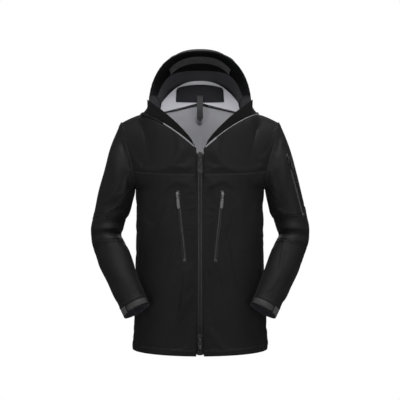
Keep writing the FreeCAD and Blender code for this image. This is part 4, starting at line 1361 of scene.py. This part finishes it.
def zip_hardware(stem, ending, matrix, half, length, eye, pull_half, pull_length, names):
    out = LIFT + PLATE + BAR_RISE
    hardware(stem + "_slider_body" + ending, matrix, slider_fill(half, length, eye), MATERIAL["slider"],
             names[0], "slider_metal", [names[0]])
    hardware(stem + "_pull_tab" + ending, matrix @ Matrix.Translation((0, -out * MM, 0)),
             pull_fill(pull_half, pull_length, eye, 2.2), MATERIAL["pull"], names[1], "pull", [names[1]], 0.3)


# ---------------------------------------------------------------- front zip

def front_line(across, along):
    return Vector((across, -FRONT, lerp(5 * MM, NECK_FRONT - 2 * MM, along)))


for name, side in SIDES:
    half = ZIP_HALF / MM
    profile = [(0.15, -0.5), (0.4, 1.0), (1.5, 1.5), (2.7, 1.3), (3.5, 0.5), (5.5, 0.25), (8.2, 0.2),
               (half, -0.2)]
    if side < 0:
        profile = [(-x, h) for x, h in reversed(profile)]
    zip_strip("zip_lip_" + name, front_line, [(x * MM, h * MM) for x, h in profile], 90,
              ["front_zip_tape_" + name])
    stitch_row("zip_stitch_" + name, [(to_row(front_line(side * 9.0 * MM, k)) + Vector((0, -0.4 * MM, 0)),
                                       Vector((0, -1, 0))) for k in span(0.01, 0.99, 60)])


def teeth_fill(low, high, pitch):
    def fill(mesh):
        z, sign = low, 1
        while z < high:
            x0, x1 = sorted((-sign * 0.3, sign * 2.6))
            bar(mesh, x0, x1, z - 0.8, z + 0.8, 0.2, 2.0)
            z += pitch
            sign = -sign
    return fill


down_front = frame_at(to_row(Vector((0, -FRONT, 0))), Vector((0, 0, 1)), Vector((0, -1, 0)))
# closed teeth, in millimetres above the hem: from the bottom box to just under the main slider
TEETH_LOW = 18
TEETH_HIGH = 568
TEETH_PITCH = 1.7
hardware("zip_teeth_row", down_front, teeth_fill(TEETH_LOW, TEETH_HIGH, TEETH_PITCH), MATERIAL["teeth"], "root",
         "zip_teeth", ["front_zip_chain"], 0.15)
hardware("zip_bottom_box", down_front, lambda mesh: slab(mesh, rounded(6, 4, 16, 1.4), -1.9, 2.4),
         MATERIAL["teeth"], "root", "zip_teeth", ["front_zip_stop"])
for stem, height, pull_half, pull_length in (("main", 585 * MM, 7.0, 52), ("lower", 51 * MM, 5.0, 30)):
    zip_hardware(stem + "_zip", "", down_front @ Matrix.Translation((0, 0, height)), 6.0, 26, 4.4, pull_half,
                 pull_length, (stem + "_slider", stem + "_pull"))

# ---------------------------------------------------------------- pocket zips


def chest_surface(across, along):
    x, height = chest_zip_line(along)
    return body_point(math.asin((x + across) / body_half_width(height)), height, FRONT)


def mirrored(surface, side):
    if side > 0:
        return surface

    def image(across, along):
        point = surface(-across, along)
        return Vector((-point.x, point.y, point.z))
    return image


def pocket_slider(stem, ending, matrix):
    """Slider and pull just below the top of a pocket's zip."""
    zip_hardware(stem + "_zip", ending, matrix @ Matrix.Translation((0, 0, -0.0085)), 4.5, 17, 3.4, 4.5, 40,
                 (stem + "_slider" + ending, stem + "_pull" + ending))


def end_tack(name, surface, along):
    """Bar tack: a short dense row of threads across the end of a zip."""
    path = [place(surface, across * MM, along) for across in span(-5, 5, 12)]
    lifted = [(point + normal * 0.9 * MM, normal) for point, normal in path]
    stitch_row(name, lifted, "root", "zip_tape", 1.0 * MM, 2.4 * MM, 0.45 * MM)


for name, side in SIDES:
    surface = mirrored(chest_surface, side)
    zip_strip("chest_zip_" + name, surface, lips(6.5, 0.15, 1.5), 60,
              ["chest_zip_tape_" + name, "chest_zip_coil_" + name], -0.03, 1.02)
    end_tack("chest_tack_" + name, surface, -0.03)
    top, facing = place(surface, 0, 1.0)
    bottom, _ = place(surface, 0, 0.0)
    matrix = frame_at(top + facing * 0.3 * MM, top - bottom, place(surface, 0, 0.5)[1])
    pocket_slider("chest", "_" + name, matrix)
    garage = frame_at(bottom + facing * 1.4 * MM, top - bottom, place(surface, 0, 0.0)[1])
    hardware("chest_ring_" + name, garage, ring_fill(3.0, 0.7), MATERIAL["slider"], "root", "zip_tape",
             bevel=0.05)


def sleeve_at(x, z):
    """Turn and station of the front of the left sleeve at (x, z)."""
    turn, station = 60.0, 2.0
    for _ in range(30):
        here = sleeve_point(turn, station)
        by_turn = (sleeve_point(turn + 0.1, station) - here) * 10
        by_station = (sleeve_point(turn, station + 0.01) - here) * 100
        slope = by_turn.x * by_station.z - by_turn.z * by_station.x
        dx, dz = x - here.x, z - here.z
        turn += (dx * by_station.z - dz * by_station.x) / slope
        station += (by_turn.x * dz - by_turn.z * dx) / slope
    return turn, station


SLEEVE_ZIP_ENDS = [sleeve_at(0.311, 0.414), sleeve_at(0.264, 0.593)]
SLEEVE_RADIUS = 62.0 * MM


def sleeve_zip_surface(across, along):
    turn = lerp(SLEEVE_ZIP_ENDS[0][0], SLEEVE_ZIP_ENDS[1][0], along)
    station = lerp(SLEEVE_ZIP_ENDS[0][1], SLEEVE_ZIP_ENDS[1][1], along)
    return sleeve_point(turn - math.degrees(across / SLEEVE_RADIUS), station)


zip_strip("sleeve_zip", sleeve_zip_surface, lips(6.5, 0.15, 1.6), 50, ["sleeve_zip_tape", "sleeve_zip_coil"],
          -0.04, 1.02)
end_tack("sleeve_tack", sleeve_zip_surface, -0.04)
top, _ = place(sleeve_zip_surface, 0, 1.0)
bottom, low_facing = place(sleeve_zip_surface, 0, 0.0)
facing = place(sleeve_zip_surface, 0, 0.5)[1]
matrix = frame_at(top + facing * 2.4 * MM, top - bottom, facing)
pocket_slider("sleeve", "", matrix)
garage = frame_at(bottom + low_facing * 1.5 * MM, top - bottom, low_facing)
hardware("sleeve_ring", garage, ring_fill(3.4, 0.8), MATERIAL["slider"], "root", "zip_tape", bevel=0.05)

# ---------------------------------------------------------------- cuffs and hang loop

def loose_piece(name, surface, size, material, body, slot, replaces, thickness, groove=0.3 * MM, **options):
    """Piece of one material outside the sheets that settle."""
    obj = Panel(name, surface, size, **options).build([material] * 2, thickness=thickness, groove=groove)
    thicken(obj)
    finish_piece(obj, body, slot, replaces)


for name, side in SIDES:
    def tab_surface(u, v):
        narrow = math.sqrt(max(1 - (max(u - 0.82, 0) / 0.19) ** 2, 0.05))
        return sleeve_point(lerp(158, 64, u), lerp(6.93, 6.72, 0.5 + (v - 0.5) * narrow))

    def tab_ribs(u, v, point):
        return 0.7 * MM * (math.sin(70 * u) > 0.2) * (0.35 < u < 0.85) * (0.18 < v < 0.82)

    def tape_surface(u, v):
        return sleeve_point(lerp(58, 22, u), lerp(6.95, 6.7, v))

    loose_piece("tab_moulding_" + name, on_side(tab_surface, side), (0.06, 0.026), MATERIAL["tab"],
                "cuff_tab_" + name, "cuff_tab", ["cuff_tab_" + name], 1.9 * MM, 0.5 * MM, cell=1.6 * MM,
                lift=2.8 * MM, fade=1 * MM,
                folds=(lambda u, v, p, s=side: tab_ribs(u if s > 0 else 1 - u, v, p)))
    loose_piece("loop_tape_" + name, on_side(tape_surface, side), (0.03, 0.026), MATERIAL["loop_patch"],
                "forearm_" + name, "loop_patch", ["cuff_loop_patch_" + name], 0.9 * MM, cell=2 * MM,
                lift=1.2 * MM)


def loop_surface(u, v):
    """Webbing that bows forward between its tacks and ends in a point."""
    half = 9.6 * MM * min(1.0, (1.02 - v) / 0.13)
    y = (-57.6 * v + 64.4 * v * v) * MM
    return Vector((lerp(half, -half, u), y - shoulder_y, -82 * MM * v - hem_z))


loose_piece("loop_webbing", loop_surface, (0.019, 0.085), MATERIAL["webbing"], "root", "webbing",
            ["hang_loop"], 1.3 * MM, cell=1.6 * MM)

# ---------------------------------------------------------------- stitching

for name, side in SIDES:
    front = on_side(front_surface, side)
    rows = {"hem_upper": 0.036, "hem_lower": 0.030, "yoke_seam": 0.992}
    for row, v in rows.items():
        path = path_on(front, [(u, v) for u in span(0.02, 0.98, 60)])
        stitch_row("stitch_%s_%s" % (row, name), on_cloth(path, ["front_" + name]))
    for row, station in (("upper", 6.62), ("lower", 6.74)):
        ring = [(u, station) for u in span(0, 1, 80)]
        laid = on_cloth(path_on(on_side(sleeve_tube, side), ring), ["sleeve_lower_" + name, "cuff_" + name])
        stitch_row("stitch_cuff_%s_%s" % (row, name), laid, "forearm_" + name)
    neck = on_side(front_yoke_surface, side)
    top_row = [(u if side > 0 else 1 - u, 0.955) for u in span(0.02, 0.6, 50)]
    stitch_row("stitch_neck_" + name, on_cloth(path_on(neck, top_row), ["yoke_front_" + name]))
for row, v in (("hem", 0.033), ("yoke", 0.992)):
    stitch_row("stitch_%s_back" % row, path_on(whole_back, [(u, v) for u in span(0.01, 0.99, 90)]))
rim_row = on_cloth(path_on(hood_point, [(u, 0.02) for u in span(-0.86, 0.86, 120)]),
                   ["hood_top", "hood_flank_left", "hood_flank_right"])
stitch_row("stitch_hood_rim", rim_row, "hood")

# ---------------------------------------------------------------- bindings, flap and cross seams


def neck_path(side, start, end, level, count):
    """Path along the front neckline, from beside the zip outwards, a share of the yoke's height up."""
    neck = on_side(front_yoke_surface, side)
    return on_cloth(path_on(neck, [(u if side > 0 else 1 - u, level) for u in span(start, end, count)]),
                    ["yoke_front_left" if side > 0 else "yoke_front_right"])


welt("neck_binding_left", neck_path(1, 0.015, 0.60, 0.988, 70), "root", MATERIAL["binding"], half=1.1 * MM)
welt("neck_binding_right", neck_path(-1, 0.015, 0.25, 0.984, 40), "root", MATERIAL["binding"], half=2.3 * MM)


def neck_seam_path(start, end, count):
    """Neck seam between two places in degrees, with its outward direction."""
    path = []
    for degrees in span(start, end, count):
        turn = math.radians(degrees)
        out = Vector((math.sin(turn), -math.cos(turn), 0.25)).normalized()
        path.append((to_row(neck_point(degrees)), out))
    return path


welt("neck_seam_tape", neck_seam_path(66, 294, 120), "root", MATERIAL["shell"], half=5.5 * MM,
     height=0.7 * MM)
welt("neck_facing_left", neck_path(1, 0.012, 0.085, 0.972, 16), "root", MATERIAL["binding"], half=3.2 * MM)


def neck_flap_surface(u, v):
    """Stitched flap over the right side of the neckline, from the middle of the collar to the shoulder."""
    return on_side(front_yoke_surface, -1)(lerp(1 - 0.59, 1 - 0.24, u), lerp(0.895, 0.985, v))


loose_piece("neck_flap", neck_flap_surface, (0.10, 0.016), MATERIAL["shell"], "root", "shell", (), 1.6 * MM,
            0.8 * MM, cell=2.2 * MM, lift=3.4 * MM, folds=lambda u, v, p: 0.5 * MM * ripple(p, 40.0, 4))
for row, level in (("low", 0.14), ("high", 0.86)):
    line = [(u, level) for u in span(0.04, 0.96, 40)]
    stitch_row("stitch_flap_" + row, path_on(neck_flap_surface, line, 3.5 * MM))


def sleeve_seam(name, side_name, spots, body):
    """Felled seam across the left sleeve through spots given as (turn, station), or its mirror image."""
    sign = 1 if side_name == "left" else -1
    tube = on_side(sleeve_tube, sign)
    path = path_on(tube, [(turn / 360 if sign > 0 else 1 - turn / 360, station) for turn, station in spots])
    skin = ["sleeve_upper_" + side_name, "sleeve_elbow_" + side_name, "sleeve_lower_" + side_name]
    welt(name, on_cloth(path, skin, 0.1 * MM), body, MATERIAL["shell"], half=1.5 * MM, height=0.9 * MM)


for name, sign in SIDES:
    ring = on_side(sleeve_tube, sign)
    armhole = [(k if sign > 0 else 1 - k, 0.004) for k in span(0, 1, 90)]
    welt("armhole_seam_" + name, path_on(ring, armhole, -0.8 * MM), "root", MATERIAL["shell"], half=6.0 * MM,
         height=0.5 * MM)


def between(first, last, count):
    return [(lerp(first[0], last[0], k), lerp(first[1], last[1], k)) for k in span(0, 1, count)]


drop_start = sleeve_at(0.224, 0.508)
drop_bend = (sleeve_at(0.274, 0.391)[0], 3.3)
for name, _ in SIDES:
    run = between((drop_start[0] + 24, drop_start[1] - 0.2), drop_bend, 30)
    sleeve_seam("sleeve_seam_" + name, name, run + between(drop_bend, (30, 3.36), 12)[1:], "root")
    for row, station in (("high", 4.56), ("low", 4.64)):
        spots = between((168, station), (12, station + 0.02), 40)
        sleeve_seam("forearm_seam_%s_%s" % (row, name), name, spots, "forearm_" + name)

# ---------------------------------------------------------------- floor, camera and light

bpy.ops.mesh.primitive_plane_add(size=4.6, location=(0, 0, hem_z - 1.0))
floor = bpy.context.object
floor.name = "floor"
pale = Nodes("pale_floor")
pale.link(pale.ramp(pale.noise(3.0), grey(0.86), grey(0.9)), pale.shader.inputs["Base Color"])
pale.shader.inputs["Roughness"].default_value = 0.9
floor.data.materials.append(pale.material)


def area_light(name, place_at, target, size, power):
    data = bpy.data.lights.new(name, "AREA")
    data.shape = "RECTANGLE"
    data.size, data.size_y = size
    data.energy = power
    light = bpy.data.objects.new(name, data)
    bpy.context.collection.objects.link(light)
    light.location = place_at
    light.rotation_euler = (Vector(target) - Vector(place_at)).to_track_quat("-Z", "Y").to_euler()


middle = (0, 0, hem_z + 0.5)
chest = (0, 0, hem_z + 0.7)
area_light("overhead", (0.15, -0.75, hem_z + 2.3), (0, -0.1, hem_z + 0.4), (2.2, 1.2), 86)
area_light("front_high", (0.1, -2.6, hem_z + 1.9), (0, 0.05, hem_z + 0.72), (0.9, 0.5), 34)
area_light("front_right", (1.5, -2.5, hem_z + 0.45), chest, (0.8, 1.6), 26)
area_light("front_left", (-1.5, -2.5, hem_z + 0.45), chest, (0.8, 1.6), 26)
area_light("right", (2.2, -0.5, hem_z + 0.9), middle, (0.8, 2.0), 7)
area_light("left", (-2.2, -0.3, hem_z + 1.0), middle, (0.6, 2.0), 8)
area_light("behind", (0, 2.4, hem_z + 1.6), middle, (2.4, 1.4), 22)

world = bpy.data.worlds.new("studio")
bpy.context.scene.world = world
world.use_nodes = True
world.node_tree.nodes["Background"].inputs["Color"].default_value = (1, 1, 1, 1)
world.node_tree.nodes["Background"].inputs["Strength"].default_value = 1.0
world.cycles_visibility.diffuse = False
world.cycles_visibility.glossy = False

LENS = 63.9
CAMERA_FAR = 2.2
CAMERA_HEIGHT = 0.457

camera_data = bpy.data.cameras.new("camera")
camera_data.lens = LENS
camera_data.sensor_width = 36
camera = bpy.data.objects.new("camera", camera_data)
bpy.context.collection.objects.link(camera)
camera.location = (0, shoulder_y - CAMERA_FAR, hem_z + CAMERA_HEIGHT)
camera.rotation_euler = (math.radians(90), 0, 0)
bpy.context.scene.camera = camera
bpy.context.scene.view_settings.view_transform = "Standard"
